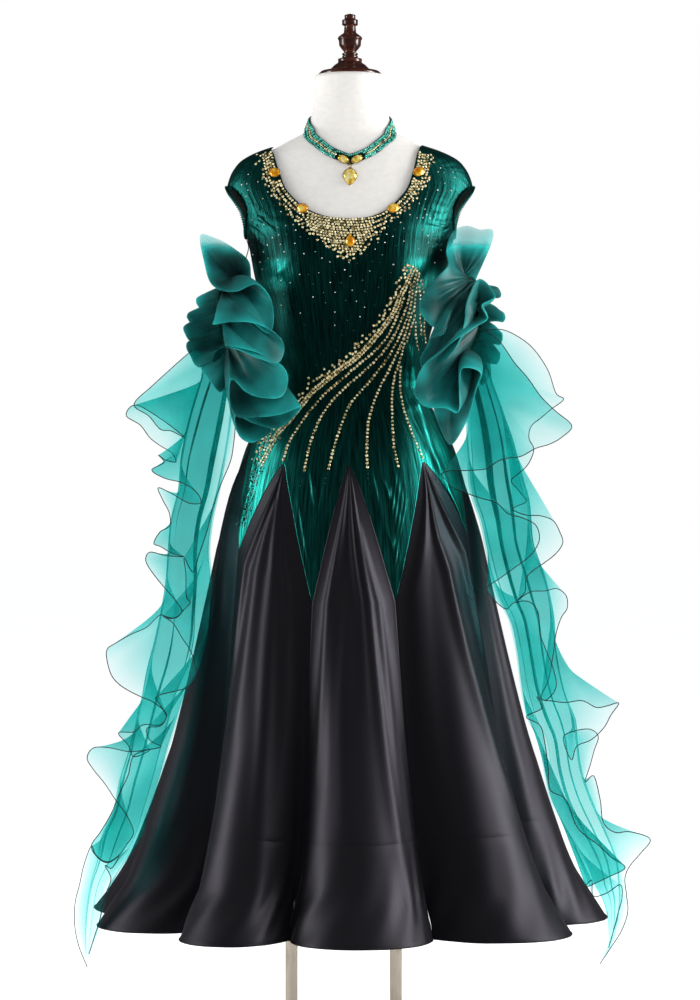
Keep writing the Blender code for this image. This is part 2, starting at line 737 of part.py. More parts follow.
# ---------------------------------------------------------------- choker, stones, pendant
def make_choker():
    degs = np.arange(0, 361, 10.0)
    edges = along(CHOKER, np.abs((degs + 180) % 360 - 180))
    heights = edges.T[::-1]
    grid, directions = laid(form, degs * np.ones((2, 1)), heights)
    wall("choker", [(grid + directions * CHOKER_LIFT, directions)], CLOTH, "foil")


def gem(name, half_width, half_height, depth, sides, place, pointed):
    """A cut stone: flat back, girdle, sloping crown and flat table; pointed narrows its top to a tip."""
    bm = bmesh.new()
    bmesh.ops.create_circle(bm, cap_ends=True, segments=sides, radius=1.0)
    for scale, rise in CUT:
        top = max(bm.faces, key=lambda face: face.calc_center_median().z)
        flat = len(bm.faces) > 1
        made = bmesh.ops.extrude_face_region(bm, geom=[top])["geom"]
        if flat:
            bmesh.ops.delete(bm, geom=[top], context="FACES_ONLY")
        verts = [item for item in made if isinstance(item, bmesh.types.BMVert)]
        bmesh.ops.scale(bm, vec=(scale, scale, 1), verts=verts)
        bmesh.ops.translate(bm, vec=(0, 0, rise), verts=verts)
    for vert in bm.verts:
        if vert.co.y > 0:
            vert.co.x *= 1 - pointed * vert.co.y
    bmesh.ops.scale(bm, vec=(half_width, half_height, depth), verts=bm.verts)
    bmesh.ops.transform(bm, matrix=place, verts=bm.verts)
    bmesh.ops.recalc_face_normals(bm, faces=bm.faces)
    return add_object(name, bm, "stone")


def seat(surface, deg, height, lift, turn):
    """Placement of a stone on a surface: its back on the cloth, its height along the surface."""
    point = surface(np.array(deg), np.array(height))
    normal = Vector(outward(surface, np.array(deg), np.array(height)))
    right = Vector((0, 0, 1)).cross(normal).normalized()
    up = normal.cross(right)
    frame = Matrix((right, up, normal)).transposed().to_4x4()
    frame.translation = Vector(point) + normal * lift
    return frame @ Matrix.Rotation(math.radians(turn), 4, "Z")


def make_stones():
    sets = (
        (NECK_STONES, body, CLOTH + CLEAR, LARGE_SIDES),
        (CHOKER_STONES, form, CHOKER_LIFT + CLOTH + CLEAR, SMALL_SIDES),
    )
    for stones, surface, lift, sides in sets:
        for name, (deg, height, half_width, half_height, depth, turn, pointed) in stones.items():
            place = seat(surface, deg, height, lift, turn)
            gem(name, half_width, half_height, depth, sides, place, pointed)


def wire_ring(name, major, place):
    """A ring of wire round its own Z axis."""
    bm = bmesh.new()
    made = bmesh.ops.create_circle(bm, segments=WIRE_SIDES, radius=WIRE)["verts"]
    bmesh.ops.rotate(bm, verts=made, cent=(0, 0, 0), matrix=Matrix.Rotation(math.pi / 2, 3, "X"))
    bmesh.ops.translate(bm, verts=made, vec=(major, 0, 0))
    bmesh.ops.spin(
        bm,
        geom=bm.edges[:],
        cent=(0, 0, 0),
        axis=(0, 0, 1),
        angle=2 * math.pi,
        steps=WIRE_STEPS,
        use_merge=True,
    )
    bmesh.ops.remove_doubles(bm, verts=bm.verts, dist=1e-6)
    bmesh.ops.transform(bm, matrix=place, verts=bm.verts)
    bmesh.ops.recalc_face_normals(bm, faces=bm.faces)
    return add_object(name, bm, "gold")


def pendant_hinge():
    """Centre of the fixed loop, in front of the choker's point."""
    low = CHOKER[0][1]
    point = form(np.array(0.0), np.array(low))
    reach = CHOKER_LIFT + CLOTH + CLEAR + LOOP_R + WIRE
    return Vector((0, float(point[1]) - reach, low + LOOP_RAISED))


def make_pendant():
    hinge = pendant_hinge()
    place = Matrix.Translation(hinge) @ Matrix.Rotation(math.pi / 2, 4, "Y")
    wire_ring("pendant_loop", LOOP_R, place)
    hang = Matrix.Translation(hinge) @ Matrix.Rotation(math.radians(-PENDANT_LEAN), 4, "X")
    bail = hang @ Matrix.Translation((0, 0, -BAIL_R)) @ Matrix.Rotation(math.pi / 2, 4, "X")
    wire_ring("pendant_bail", BAIL_R, bail)
    drop = 2 * BAIL_R + WIRE + CLEAR + PENDANT_TALL / 2
    face = hang @ Matrix.Translation((0, PENDANT_DEEP * PENDANT_BEHIND, -drop))
    face = face @ Matrix.Rotation(math.pi / 2, 4, "X") @ Matrix.Rotation(math.pi, 4, "Z")
    half_height = PENDANT_TALL / 2
    gem("pendant_stone", PENDANT_HALF, half_height, PENDANT_DEEP, LARGE_SIDES, face, PENDANT_POINTED)


# ---------------------------------------------------------------- arm floats
def ring_frame(s):
    """Centre of an armband and its three directions: to its back, up, and away from the dress."""
    turn = math.radians(RING_TURN)
    centre = np.array((s * RING_OUT, RING_FORE, RING_UP))
    back = np.array((-s * math.sin(turn), math.cos(turn), 0))
    away = np.array((s * math.cos(turn), math.sin(turn), 0))
    return centre, back, np.array((0.0, 0, 1)), away


def ring_point(s, ring_deg, radius, offset=0.0):
    centre, back, up, away = ring_frame(s)
    angle = np.radians(np.asarray(ring_deg, float))[..., None]
    radial = np.cos(angle) * back + np.sin(angle) * up
    return centre + radial * np.asarray(radius)[..., None] + offset * away, radial


def make_armband(name, s):
    degs = np.linspace(0, 360, 25)
    grids, directions = [], []
    for offset in (-RING_WIDE / 2, RING_WIDE / 2):
        points, radial = ring_point(s, degs, RING_R - CLOTH, offset)
        grids.append(points)
        directions.append(radial)
    wall(f"armband_{name}", [(np.array(grids), np.array(directions))], CLOTH, "foil")


def make_ruffle(name, s, table):
    """A gathered frill on the armband that swings from side to side down its length."""
    steps = (len(table) - 1) * RUFFLE_STEPS
    ring_degs = [row[0] for row in table]
    places = np.interp(np.arange(steps + 1) / RUFFLE_STEPS, np.arange(len(table)), ring_degs)
    swing, reach = np.moveaxis(along(table, places), -1, 0)
    start, radial = ring_point(s, places, RING_R + RUFFLE_GAP)
    away = ring_frame(s)[3]
    swing = np.radians(swing)[:, None]
    direction = np.cos(swing) * radial + np.sin(swing) * away
    rows = []
    for share in RUFFLE_ROWS:
        rows.append(start + direction * (share * reach)[:, None])
    points = np.array(rows)
    points[1:] = clear_of_dress(points[1:], HANG_CLEAR)
    wall(name, [(points, grid_normals(points))], SHEER, "organza", centred=True)


def float_edges(side, s, heights, share):
    """Points of a float panel at shares from -1, its outer edge, to 1, its inner and front edge."""
    out, fore, half = np.moveaxis(along(FLOAT[side], heights), -1, 0)
    across_x, across_y = FLOAT_ACROSS
    x = s * (out - share * half * across_x)
    y = fore - share * half * across_y
    wave = np.cos(np.pi * PLEATS * (share + 1)) * PLEAT_DEEP * np.clip(half / 0.05, 0, 1)
    x = x + s * wave * across_y
    y = y - wave * across_x
    return np.stack([x, y, heights + 0 * x], -1)


def float_panel(side, s, rows, shares):
    top = FLOAT[side][-1][0]
    heights = np.linspace(FLOAT[side][0][0], top, rows)[::-1]
    grid = float_edges(side, s, heights[:, None] + 0 * shares, shares + 0 * heights[:, None])
    ring_deg = np.interp(shares, (-1, 1), FLOAT_RING_DEG)
    first = ring_point(s, ring_deg, RING_R + RUFFLE_GAP)[0]
    between = first + (grid[0] - first) * FLOAT_GATHER
    grid = np.concatenate([[first, between], grid])
    grid[1:] = clear_of_dress(grid[1:], HANG_CLEAR)
    return grid


def make_float(side, s):
    shares = np.linspace(-1, 1, FLOAT_STEPS + 1)
    grid = float_panel(side, s, FLOAT_ROWS, shares)
    wall(f"float_panel_{side}", [(grid, grid_normals(grid))], SHEER, "organza", centred=True)
    across = np.array((-s * FLOAT_ACROSS[0], -FLOAT_ACROSS[1], 0))
    ahead = np.array((s * FLOAT_ACROSS[1], -FLOAT_ACROSS[0], 0))
    for kind, table, share in (("outer", FLOUNCE_OUTER, -1.0), ("inner", FLOUNCE_INNER, 1.0)):
        table = table[side]
        steps = (len(table) - 1) * FLOUNCE_STEPS
        rows = [row[0] for row in table]
        heights = np.interp(np.arange(steps + 1) / FLOUNCE_STEPS, np.arange(len(table)), rows)
        swing, reach = np.moveaxis(along(table, heights), -1, 0)
        reach = np.maximum(reach, FLOUNCE_LEAST)
        edge = grid[::-1, 0] if share < 0 else grid[::-1, -1]
        start = np.stack([np.interp(heights, edge[:, 2], edge[:, i]) for i in range(3)], -1)
        start = start + share * across * FLOUNCE_GAP
        swing = np.radians(swing)[:, None]
        direction = np.cos(swing) * share * across + np.sin(swing) * ahead
        lines = []
        for part in (0.0, 0.5, 1.0):
            line = start + direction * (part * reach)[:, None]
            line[:, 2] -= FLOUNCE_DROOP * part**2
            lines.append(line)
        points = np.array(lines)
        points[1:] = clear_of_dress(points[1:], HANG_CLEAR)
        grids = [(points, grid_normals(points))]
        wall(f"float_flounce_{kind}_{side}", grids, SHEER, "organza", centred=True)


def make_float_loop(side, s):
    """Elastic loop from the bottom of the armhole to the top of the armband."""
    end = ring_point(s, LOOP_DEG, RING_R + 2 * CLEAR)[0]
    centre = []
    for height in LOOP_SEWN:
        x = body(np.array(90.0), np.array(height))[0] + CLOTH + CLEAR
        centre.append((s * x, LOOP_FORE, height))
    for share in (1 / 3, 2 / 3, 1):
        centre.append(np.array(centre[1]) * (1 - share) + end * share if share < 1 else end)
    centre = np.array(centre)
    across = np.array((0.0, LOOP_WIDE / 2, 0))
    grid = np.array([centre - across, centre + across])
    side_on = np.broadcast_to((s, 0.0, 0.0), grid.shape)
    wall(f"float_loop_{side}", [(grid, side_on)], CLOTH, "foil")


# ---------------------------------------------------------------- form and stand
def make_form():
    heights = [row[0] for row in FORM]
    more = [(a + b) / 2 for a, b in zip(heights[:-1], heights[1:]) if b - a > FORM_ROW]
    heights = sorted(heights + more)
    degs = np.arange(FORM_COLUMNS) * 360 / FORM_COLUMNS
    bm = bmesh.new()
    rings = []
    for height in heights:
        rings.append([bm.verts.new(point) for point in form(degs, height)])
    for low, high in zip(rings[:-1], rings[1:]):
        for i in range(FORM_COLUMNS):
            j = (i + 1) % FORM_COLUMNS
            bm.faces.new((low[i], low[j], high[j], high[i]))
    bm.faces.new(rings[0][::-1])
    bm.faces.new(rings[-1])
    bmesh.ops.recalc_face_normals(bm, faces=bm.faces)
    return add_object("form_torso", bm, "linen")


def make_finial():
    base = FORM_NECK[-1][0] + CLEAR
    bm = bmesh.new()
    profile = [(0.0, FINIAL[0][1])] + FINIAL + [(0.0, FINIAL[-1][1] + FINIAL_DOME)]
    verts = [bm.verts.new((radius, 0, base + height)) for radius, height in profile]
    edges = [bm.edges.new(pair) for pair in zip(verts[:-1], verts[1:])]
    bmesh.ops.spin(
        bm,
        geom=verts + edges,
        cent=(0, 0, 0),
        axis=(0, 0, 1),
        angle=2 * math.pi,
        steps=FINIAL_SIDES,
        use_merge=True,
    )
    bmesh.ops.remove_doubles(bm, verts=bm.verts, dist=1e-6)
    bmesh.ops.recalc_face_normals(bm, faces=bm.faces)
    return add_object("finial", bm, "mahogany")


def make_stand():
    foot = PLATE_THICK + CLEAR
    length = FORM[0][0] - CLEAR - foot
    for name, x in zip(("post_right", "post_left"), POST_X):
        bm = bmesh.new()
        bmesh.ops.create_cone(
            bm,
            cap_ends=True,
            segments=POST_SIDES,
            radius1=POST_R,
            radius2=POST_R,
            depth=length,
            matrix=Matrix.Translation((x, 0, foot + length / 2)),
        )
        add_object(name, bm, "post")
    bm = bmesh.new()
    bmesh.ops.create_cube(bm, size=1.0)
    bmesh.ops.scale(bm, vec=(PLATE_WIDE, PLATE_DEEP, PLATE_THICK), verts=bm.verts)
    bmesh.ops.translate(bm, vec=(sum(POST_X) / 2, 0, PLATE_THICK / 2), verts=bm.verts)
    top = [edge for edge in bm.edges if all(vert.co.z > PLATE_THICK / 2 for vert in edge.verts)]
    bmesh.ops.bevel(
        bm,
        geom=top,
        offset=PLATE_EDGE,
        offset_type="OFFSET",
        segments=2,
        profile=0.5,
        affect="EDGES",
        material=-1,
    )
    add_object("base_plate", bm, "post")


def main():
    for old in list(bpy.data.objects):
        bpy.data.objects.remove(old)
    make_dress()
    make_armholes()
    make_choker()
    make_stones()
    make_pendant()
    for side, s in SIDES.items():
        make_armband(side, s)
        make_float_loop(side, s)
        make_ruffle(f"ruffle_front_{side}", s, RUFFLE_FRONT[side])
        make_ruffle(f"ruffle_back_{side}", s, RUFFLE_BACK[side])
        make_float(side, s)
    make_form()
    make_finial()
    make_stand()


main()
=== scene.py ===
"""Looks of a ballroom dance dress on its two-post dress form, laid out as an add-on that is run as a script.

Every operator builds one piece, or a group of like pieces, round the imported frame. Metres, +Z up, front
towards -Y. Left and right are the wearer's, so the wearer's right is at -X. Angles round the body are in
degrees: 0 is the front, 90 is +X, 180 the back.
"""

import math
from functools import cache

import bmesh
import bpy
import numpy as np
from bpy.props import FloatProperty, FloatVectorProperty, PointerProperty
from mathutils import Matrix, Vector
from mathutils.bvhtree import BVHTree


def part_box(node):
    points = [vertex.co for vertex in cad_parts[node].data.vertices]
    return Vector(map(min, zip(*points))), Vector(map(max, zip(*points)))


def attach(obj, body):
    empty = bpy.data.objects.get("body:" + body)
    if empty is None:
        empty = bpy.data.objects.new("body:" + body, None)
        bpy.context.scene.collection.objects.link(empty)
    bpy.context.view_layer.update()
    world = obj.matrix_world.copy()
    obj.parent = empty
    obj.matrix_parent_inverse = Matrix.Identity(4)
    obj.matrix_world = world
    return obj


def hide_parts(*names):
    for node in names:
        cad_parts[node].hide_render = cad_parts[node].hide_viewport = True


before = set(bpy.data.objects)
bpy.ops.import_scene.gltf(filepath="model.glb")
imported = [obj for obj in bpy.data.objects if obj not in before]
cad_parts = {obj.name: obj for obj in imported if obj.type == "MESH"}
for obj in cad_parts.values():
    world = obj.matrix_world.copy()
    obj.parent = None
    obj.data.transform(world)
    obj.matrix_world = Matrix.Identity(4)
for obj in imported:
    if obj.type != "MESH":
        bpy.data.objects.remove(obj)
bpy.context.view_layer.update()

bl_info = {
    "name": "Ballroom Dance Dress",
    "version": (1, 0, 0),
    "blender": (4, 5, 0),
    "location": "3D View > Sidebar > Dress",
    "description": "Builds a beaded ballroom dance dress with organza arm floats on its dress form",
    "category": "Add Mesh",
}

BODY_OF_DRESS = "dress_on_form"
BODY_OF_PENDANT = "pendant"

MM = 1000  # a column of millimetres is divided by this
# Places read off a front view 700 wide and 1000 high, whose columns and rows count from its top left corner.
VIEW_PIXEL = 0.00172  # metres to a pixel where y = 0
VIEW_FROM = 5.0  # how far ahead of y = 0 the view is seen from
VIEW_COLUMN, VIEW_ROW, VIEW_HEIGHT = 350, 500, 0.944  # the middle of the view, and its height


def chart(text, *units):
    """An array from rows of numbers parted by semicolons, each column divided by its unit."""
    return np.array([row.split() for row in text.split(";")], float) / (units or 1)


def seen_at(column, row, y):
    """x and z of a place at a column and a row of the front view, at a depth y."""
    size = VIEW_PIXEL * (VIEW_FROM + y) / VIEW_FROM
    return (column - VIEW_COLUMN) * size, VIEW_HEIGHT + (VIEW_ROW - row) * size


def front_line(text, y, digits=4):
    """Points x, z of a line drawn on the front view, all at a depth y."""
    return np.stack(seen_at(*chart(text).T, y), -1).round(digits)


# ---------------------------------------------------------------- the garment's own shape
CLOTH = 0.0015  # how far the face of a panel lies outside the surface that the panel is cut on
SHELL = 0.0011  # thickness of a jersey or satin panel
SHEER_SHELL = 0.0003  # thickness of one organza layer
BINDING_SHELL, ELASTIC_SHELL = 0.0008, 0.0009  # thickness of the armholes' bindings, and of the elastic
CLEAR = 0.0004  # gap between hard pieces and what they sit on
ROUND = 2 / 2.2  # exponent of the body's rounded sections

# height, half_width, front, back
BODY = chart("""
    235 345 325 345; 345 300 280 300; 500 265 243 262; 650 243 215 236; 780 226 190 208;
    900 210 160 175; 1000 188 132 145; 1045 172 117 130; 1090 146 102 108; 1137 123 92 86;
    1185 126 94 86; 1230 137 102 94; 1280 151 108 104; 1331 163 112 110; 1396 176 106 112;
    1440 191 94 108; 1480 209 78 96; 1496 206 73 88; 1512 198 68 80; 1529 181 64 73; 1543 151 61 67;
    1550 130 60 64; 1560 105 58 62
""", MM)
BUST_RISE, BUST_OUT, BUST_UP = 0.024, 0.092, 1.335  # how far each cup stands out, and its centre
BUST_WIDE, BUST_TALL = 0.064, 0.066
FIT, FORM_FROM, FORM_TO = 0.0040, 1.0, 1.4  # the form lies this far inside the dress between these
FORM_HIPS = chart("860 150 100 105; 866 168 114 122; 885 181 124 135; 930 187 128 141", MM)
FORM_NECK = chart("""
    1440 168 91.5 104; 1480 170 75.5 92; 1505 178 68 81; 1522 170 63.5 73; 1536 155 60 67;
    1549 126 57.5 62; 1558 110 56 60; 1575 79 54 59; 1590 71 54 59; 1605 66 55 60; 1630 61 56 60;
    1673 60 57 60
""", MM)
FORM_UNDER_DRESS = [row - (0, FIT, FIT, FIT) for row in BODY if FORM_FROM <= row[0] <= FORM_TO]
FORM = np.vstack([FORM_HIPS, FORM_UNDER_DRESS, FORM_NECK])

# Skirt gores: apex_deg, apex_height, flute_depth, lean_deg
GORES = chart("""
    -72 1040 90 -2; -34.2 1005 95 1.5; -0.4 1002 85 -1; 39 1008 100 2; 74 1005 80 2.5; 108 1030 90 -1.5;
    144 1010 85 2; 180 1000 95 0; 216 1010 85 -2; 252 1035 90 1.5
""", 1, MM, MM, 1)
# Flat area of each gore above the hem band, in square metres
GORE_AREAS = (0.110, 0.121, 0.111, 0.143, 0.092, 0.109, 0.109, 0.129, 0.109, 0.123)
# The valley after each gore, where a bodice point ends: tip_deg, tip_height, hem_deg
VALLEYS = chart("""
    -58 858 -46; -14 772 -14.4; 17.2 775 20.7; 68 886 63.5; 92 860 96; 126 800 128; 162 790 163;
    198 790 202; 234 800 238; 269 860 278
""", 1, MM, 1)
HEM, BAND = 0.235, 0.345  # heights of the hem and of the hem band's seam
BAND_FLARE = 0.014
POINT_CURVE = 0.8  # below 1, a bodice point narrows fast and then runs out slim
PINCH = 0.10  # how far a flute's sides close over its valley at the hem
FLUTE_START = 1.25  # above 1, a flute opens slowly under its apex and faster at the hem
LOBE_POWER = 0.75  # below 1, a flute is fuller than a cosine
DEEPEST_FLUTE, SKIRT_TOP = 0.105, 1.04  # what hangs beside the skirt keeps clear of these
SHOULDER_CLEAR = 1.42  # above this height nothing hangs beside the dress

# Shoulder parts of the bodice from its chest line up: deg and height along the armhole and along the neck
FRONT_ARM = chart("90 1396; 82 1405; 72 1420; 66 1443; 65.5 1464; 72 1476.5; 81 1479.5; 90 1480", 1, MM)
FRONT_NECK = {
    "right": chart("0 1418; 10 1421.5; 21 1436.5; 28 1463; 34 1502; 45 1531.5; 68 1545; 90 1549.5", 1, MM),
    "left": chart("0 1418; 9 1421.5; 18 1436.5; 24.2 1463; 29.5 1502; 38 1531.5; 58 1547; 90 1552.5", 1, MM),
}
BACK_ARM = chart("90 1396; 101 1416; 104 1440; 104 1462; 98 1474; 93 1479; 90 1480", 1, MM)
BACK_NECK = {
    "right": chart("180 1448; 158 1456; 146 1474; 138 1502; 126 1530; 108 1545; 90 1549.5", 1, MM),
    "left": chart("180 1448; 159 1456; 148 1474; 140 1502; 129 1531; 112 1547; 90 1552.5", 1, MM),
}
FRONT_STRAP = {side: np.hstack([neck, FRONT_ARM]) for side, neck in FRONT_NECK.items()}
BACK_STRAP = {side: np.hstack([neck, BACK_ARM]) for side, neck in BACK_NECK.items()}
ARM_CENTRE = (0.186, 0.004, 1.440)

CHOKER_LIFT = 0.0016
# deg, low edge, high edge
CHOKER = chart("""
    0 1512 1531; 10 1526 1543; 20 1540 1555; 40 1557 1570; 60 1569 1585; 90 1580 1601; 135 1590 1611;
    180 1593 1614
""", 1, MM, MM)
# Large stones: half width, half height, depth, how pointed; then where each sits: deg, height, turn, size
OVAL, DROP = (0.0100, 0.0078, 0.0050, 0.0), (0.0080, 0.0112, 0.0055, 0.75)
MARQUISE = (0.0098, 0.0062, 0.0040, 0.0)
NECK_STONES = {
    "stone_shoulder_right": (-36.6, 1.500, -28.0, OVAL),
    "stone_shoulder_left": (32.6, 1.501, 28.0, OVAL),
    "stone_chest_right": (-22.8, 1.436, -28.0, OVAL),
    "stone_chest_left": (20.4, 1.436, 28.0, OVAL),
    "stone_centre": (0.0, 1.380, 0.0, DROP),
}
CHOKER_STONES = {
    "choker_stone_right": (-2.9, 1.5215, -28.0, MARQUISE),
    "choker_stone_left": (2.9, 1.5215, 28.0, MARQUISE),
}
LOOP_R, WIRE = 0.0017, 0.0007
LOOP_RAISED = 0.001  # the loop's centre over the choker's lowest point
BAIL_R = 0.0030
PENDANT_LEAN = 11.5  # degrees from upright, as it lies on the chest
PENDANT_HALF, PENDANT_TALL, PENDANT_DEEP = 0.0118, 0.0285, 0.0060
PENDANT_BEHIND = 0.35  # share of the stone's depth behind its bail
PENDANT_POINTED = 0.55

# Long soft ridges down the skirt: gore, place across at the top and at the bottom, start and end down
# the gore, half width as a share of the gore, height.
SKIRT_FOLDS = chart("""
    0 0.3 0.22 0.25 1.9 0.05 3.5; 0 0.62 0.7 0.35 2 0.07 4.5; 0 0.46 0.45 0.6 2 0.04 2.5;
    1 0.34 0.2 0.2 1.35 0.035 3.8; 1 0.52 0.36 0.3 1.6 0.075 5.5; 1 0.72 0.78 0.45 2 0.05 3;
    1 0.6 0.6 0.9 2 0.04 2.2; 2 0.5 0.55 0.02 1.45 0.035 3.2; 2 0.33 0.3 0.3 1.8 0.06 3.4;
    2 0.7 0.8 0.4 1.95 0.05 4; 2 0.45 0.4 1 2 0.05 2.8; 3 0.4 0.46 0.05 1.3 0.035 4.5;
    3 0.46 0.6 0.7 2 0.045 5; 3 0.24 0.22 0.5 2 0.05 3.2; 3 0.66 0.8 0.45 1.9 0.04 3.6;
    3 0.8 0.88 1 2 0.04 2.6; 4 0.45 0.4 0.3 1.8 0.06 3.6; 4 0.68 0.72 0.5 2 0.05 3;
    5 0.36 0.25 0.2 1.7 0.05 4; 5 0.64 0.66 0.4 2 0.06 3.2; 6 0.5 0.46 0.08 1.5 0.04 3.6;
    6 0.28 0.22 0.5 2 0.05 3; 6 0.74 0.82 0.4 1.9 0.05 4.4; 7 0.4 0.36 0.1 1.6 0.05 3.8;
    7 0.62 0.72 0.5 2 0.06 4.6; 7 0.8 0.86 0.8 2 0.04 2.4; 8 0.52 0.58 0.15 1.7 0.05 4.2;
    8 0.26 0.2 0.4 2 0.05 3; 8 0.74 0.78 0.7 2 0.04 2.8; 9 0.36 0.28 0.3 1.9 0.05 3.8;
    9 0.66 0.72 0.3 1.7 0.06 3.4; 0 0.36 0.1 0.1 1.5 0.045 4.8; 1 0.46 0.1 0.03 1.9 0.04 6;
    1 0.62 0.66 0.1 2.9 0.055 5; 2 0.36 0.16 0.04 1.7 0.05 6; 2 0.62 0.74 0.06 2.9 0.045 5.2;
    3 0.3 0.1 0.04 1.8 0.05 5.6; 3 0.6 0.9 0.05 2.2 0.045 6.6; 4 0.58 0.56 0.05 2.9 0.06 5;
    0 0.16 0.14 1.3 3.2 0.05 3.4; 1 0.86 0.88 1.2 3.2 0.05 3.6; 2 0.88 0.9 1.4 3.2 0.05 3.4;
    3 0.36 0.34 1.2 3.2 0.07 4; 4 0.26 0.2 1.1 3.2 0.06 3.6
""", 1, 1, 1, 1, 1, 1, MM)
SIDES = {"right": -1.0, "left": 1.0}

# Turned finial, from its underside up: radius, height above the neck
FINIAL = chart("""
    54 0; 54.3 3; 50 7; 34.4 10.5; 26.7 18.5; 20.5 22.5; 20.5 29; 13.6 30.5; 13.6 33.5; 12 35;
    13.6 36.5; 13.6 38.5; 9.5 40; 15 47; 18.6 52; 19.3 61; 21.2 64; 20 67; 10.7 74; 9.6 86; 13.6 87.5;
    13.6 96; 9.5 97; 9.4 104.5
""", MM)
RING_OUT, RING_FORE, RING_UP = 0.195, -0.050, 1.262
RING_R, RING_WIDE, RING_TURN = 0.062, 0.018, 20.0

# Free edges of the ruffles round the armbands: place on the ring in degrees, column, row, y.
RUFFLES = {
    "front_right": chart("""
        66 252 283 -60; 72 249 262 -50; 79 234 248 -50; 86 216 238 -60; 93 200 235 -70; 100 204 262 -90;
        106 213 285 -120; 111 236 292 -140; 115 256 284 -140; 119 268 294 -130; 123 274 316 -135;
        127 269 333 -145; 131 250 322 -155; 136 230 318 -160; 141 213 324 -160; 146 230 322 -165;
        151 256 324 -160; 156 278 335 -145; 161 284 350 -140; 165 277 364 -155; 170 258 358 -170;
        176 238 350 -170; 182 225 346 -165; 188 238 347 -175; 194 262 355 -165; 200 284 367 -145;
        206 288 383 -140; 211 281 397 -155; 217 262 398 -170; 224 246 392 -165; 231 232 380 -155;
        238 229 400 -155; 247 239 417 -165; 251 262 417 -170; 255 285 413 -165; 259 301 408 -155;
        263 280 428 -155; 267 256 424 -140; 270 236 416 -130; 273 240 437 -130; 276 252 443 -125;
        279 272 432 -120
    """, 1, 1, 1, MM),
    "front_left": chart("""
        68 476 280 -30; 75 494 234 -50; 81 479 229 -50; 87 465 226 -50; 92 452 233 -60; 97 446 250 -80;
        103 448 266 -110; 108 433 281 -130; 113 421 298 -145; 118 421 313 -150; 122 430 324 -155;
        126 444 333 -160; 130 433 338 -165; 134 425 348 -165; 138 420 360 -160; 142 427 371 -155;
        147 444 362 -165; 152 456 346 -165; 157 465 322 -155; 161 467 300 -150; 166 480 279 -140;
        171 496 296 -135; 176 482 304 -145; 181 488 318 -140; 186 477 325 -150; 191 462 336 -170;
        196 450 344 -175; 201 436 354 -175; 206 424 366 -170; 212 416 380 -165; 219 416 396 -165;
        227 425 407 -165; 240 444 408 -170; 246 458 413 -170; 250 459 390 -165; 254 463 369 -160;
        258 481 373 -150; 262 475 392 -145; 266 464 426 -140; 270 450 445 -130; 274 437 420 -110;
        278 432 402 -90
    """, 1, 1, 1, MM),
    "back_right": chart("""
        60 222 290 30; 49 197 298 0; 41 200 309 -10; 34 207 309 20; 26 188 314 -20; 17 191 324 -20;
        10 202 321 20; 2 183.5 326 -20; -7 190 341 -25; -14 203 337 20; -22 187 343 -30; -32 190 356 -35;
        -41 198 367 -40; -48 211 361 10; -54 201 368 -45; -63 211 382 -50; -72 220 392 -50;
        -82 232 384 -40
    """, 1, 1, 1, MM),
    "back_left": chart("""
        60 478 290 30; 50 496 287 0; 42 501 296 -10; 34 488 302 30; 24 504 313 -10; 15 503 322 -10;
        6 489 322 40; -4 502 333 -10; -14 500 345 -10; -24 487 340 30; -36 500 352 -10; -47 496 364 -10;
        -58 484 358 30; -70 490 374 -10; -83 482 386 -30
    """, 1, 1, 1, MM),
}
# Float panels from the top down: row, column of the outer and of the inner side, y.
PANELS = {
    "right": chart("""
        352 208 232 -35; 380 200 233 -32; 400 194 233 -30; 430 186 230 -32; 460 180 226 -40;
        490 177 221 -52; 520 170 214 -60; 550 167 211 -72; 580 165 213 -85; 610 160 212 -98;
        640 154 210 -112; 665 148 202 -122; 690 143 188 -132; 720 135 178 -142; 750 128 169 -152;
        780 119 161 -160; 810 112 151 -170; 835 101 143 -178; 860 97 128 -185; 885 90 110 -192;
        910 86 104 -196; 940 85 97 -200; 958 86 91 -205
    """, 1, 1, 1, MM),
    "left": chart("""
        352 486 462 -35; 380 492 462 -33; 400 500 463 -30; 420 507 465 -30; 440 514 466 -33;
        460 519 467 -37; 480 525 467 -43; 500 530 471 -52; 520 531 478 -60; 545 534 484 -68;
        575 545 490 -80; 600 552 498 -90; 620 555 508 -100; 650 557 515 -113; 680 562 519 -125;
        700 568 522 -133; 720 576 527 -142; 740 578 538 -150; 770 582 543 -158; 800 592 550 -168;
        830 605 566 -178; 860 617 584 -187; 885 620 594 -195; 905 620 605 -200; 940 614 608 -210;
        958 605 602 -215
    """, 1, 1, 1, MM),
}
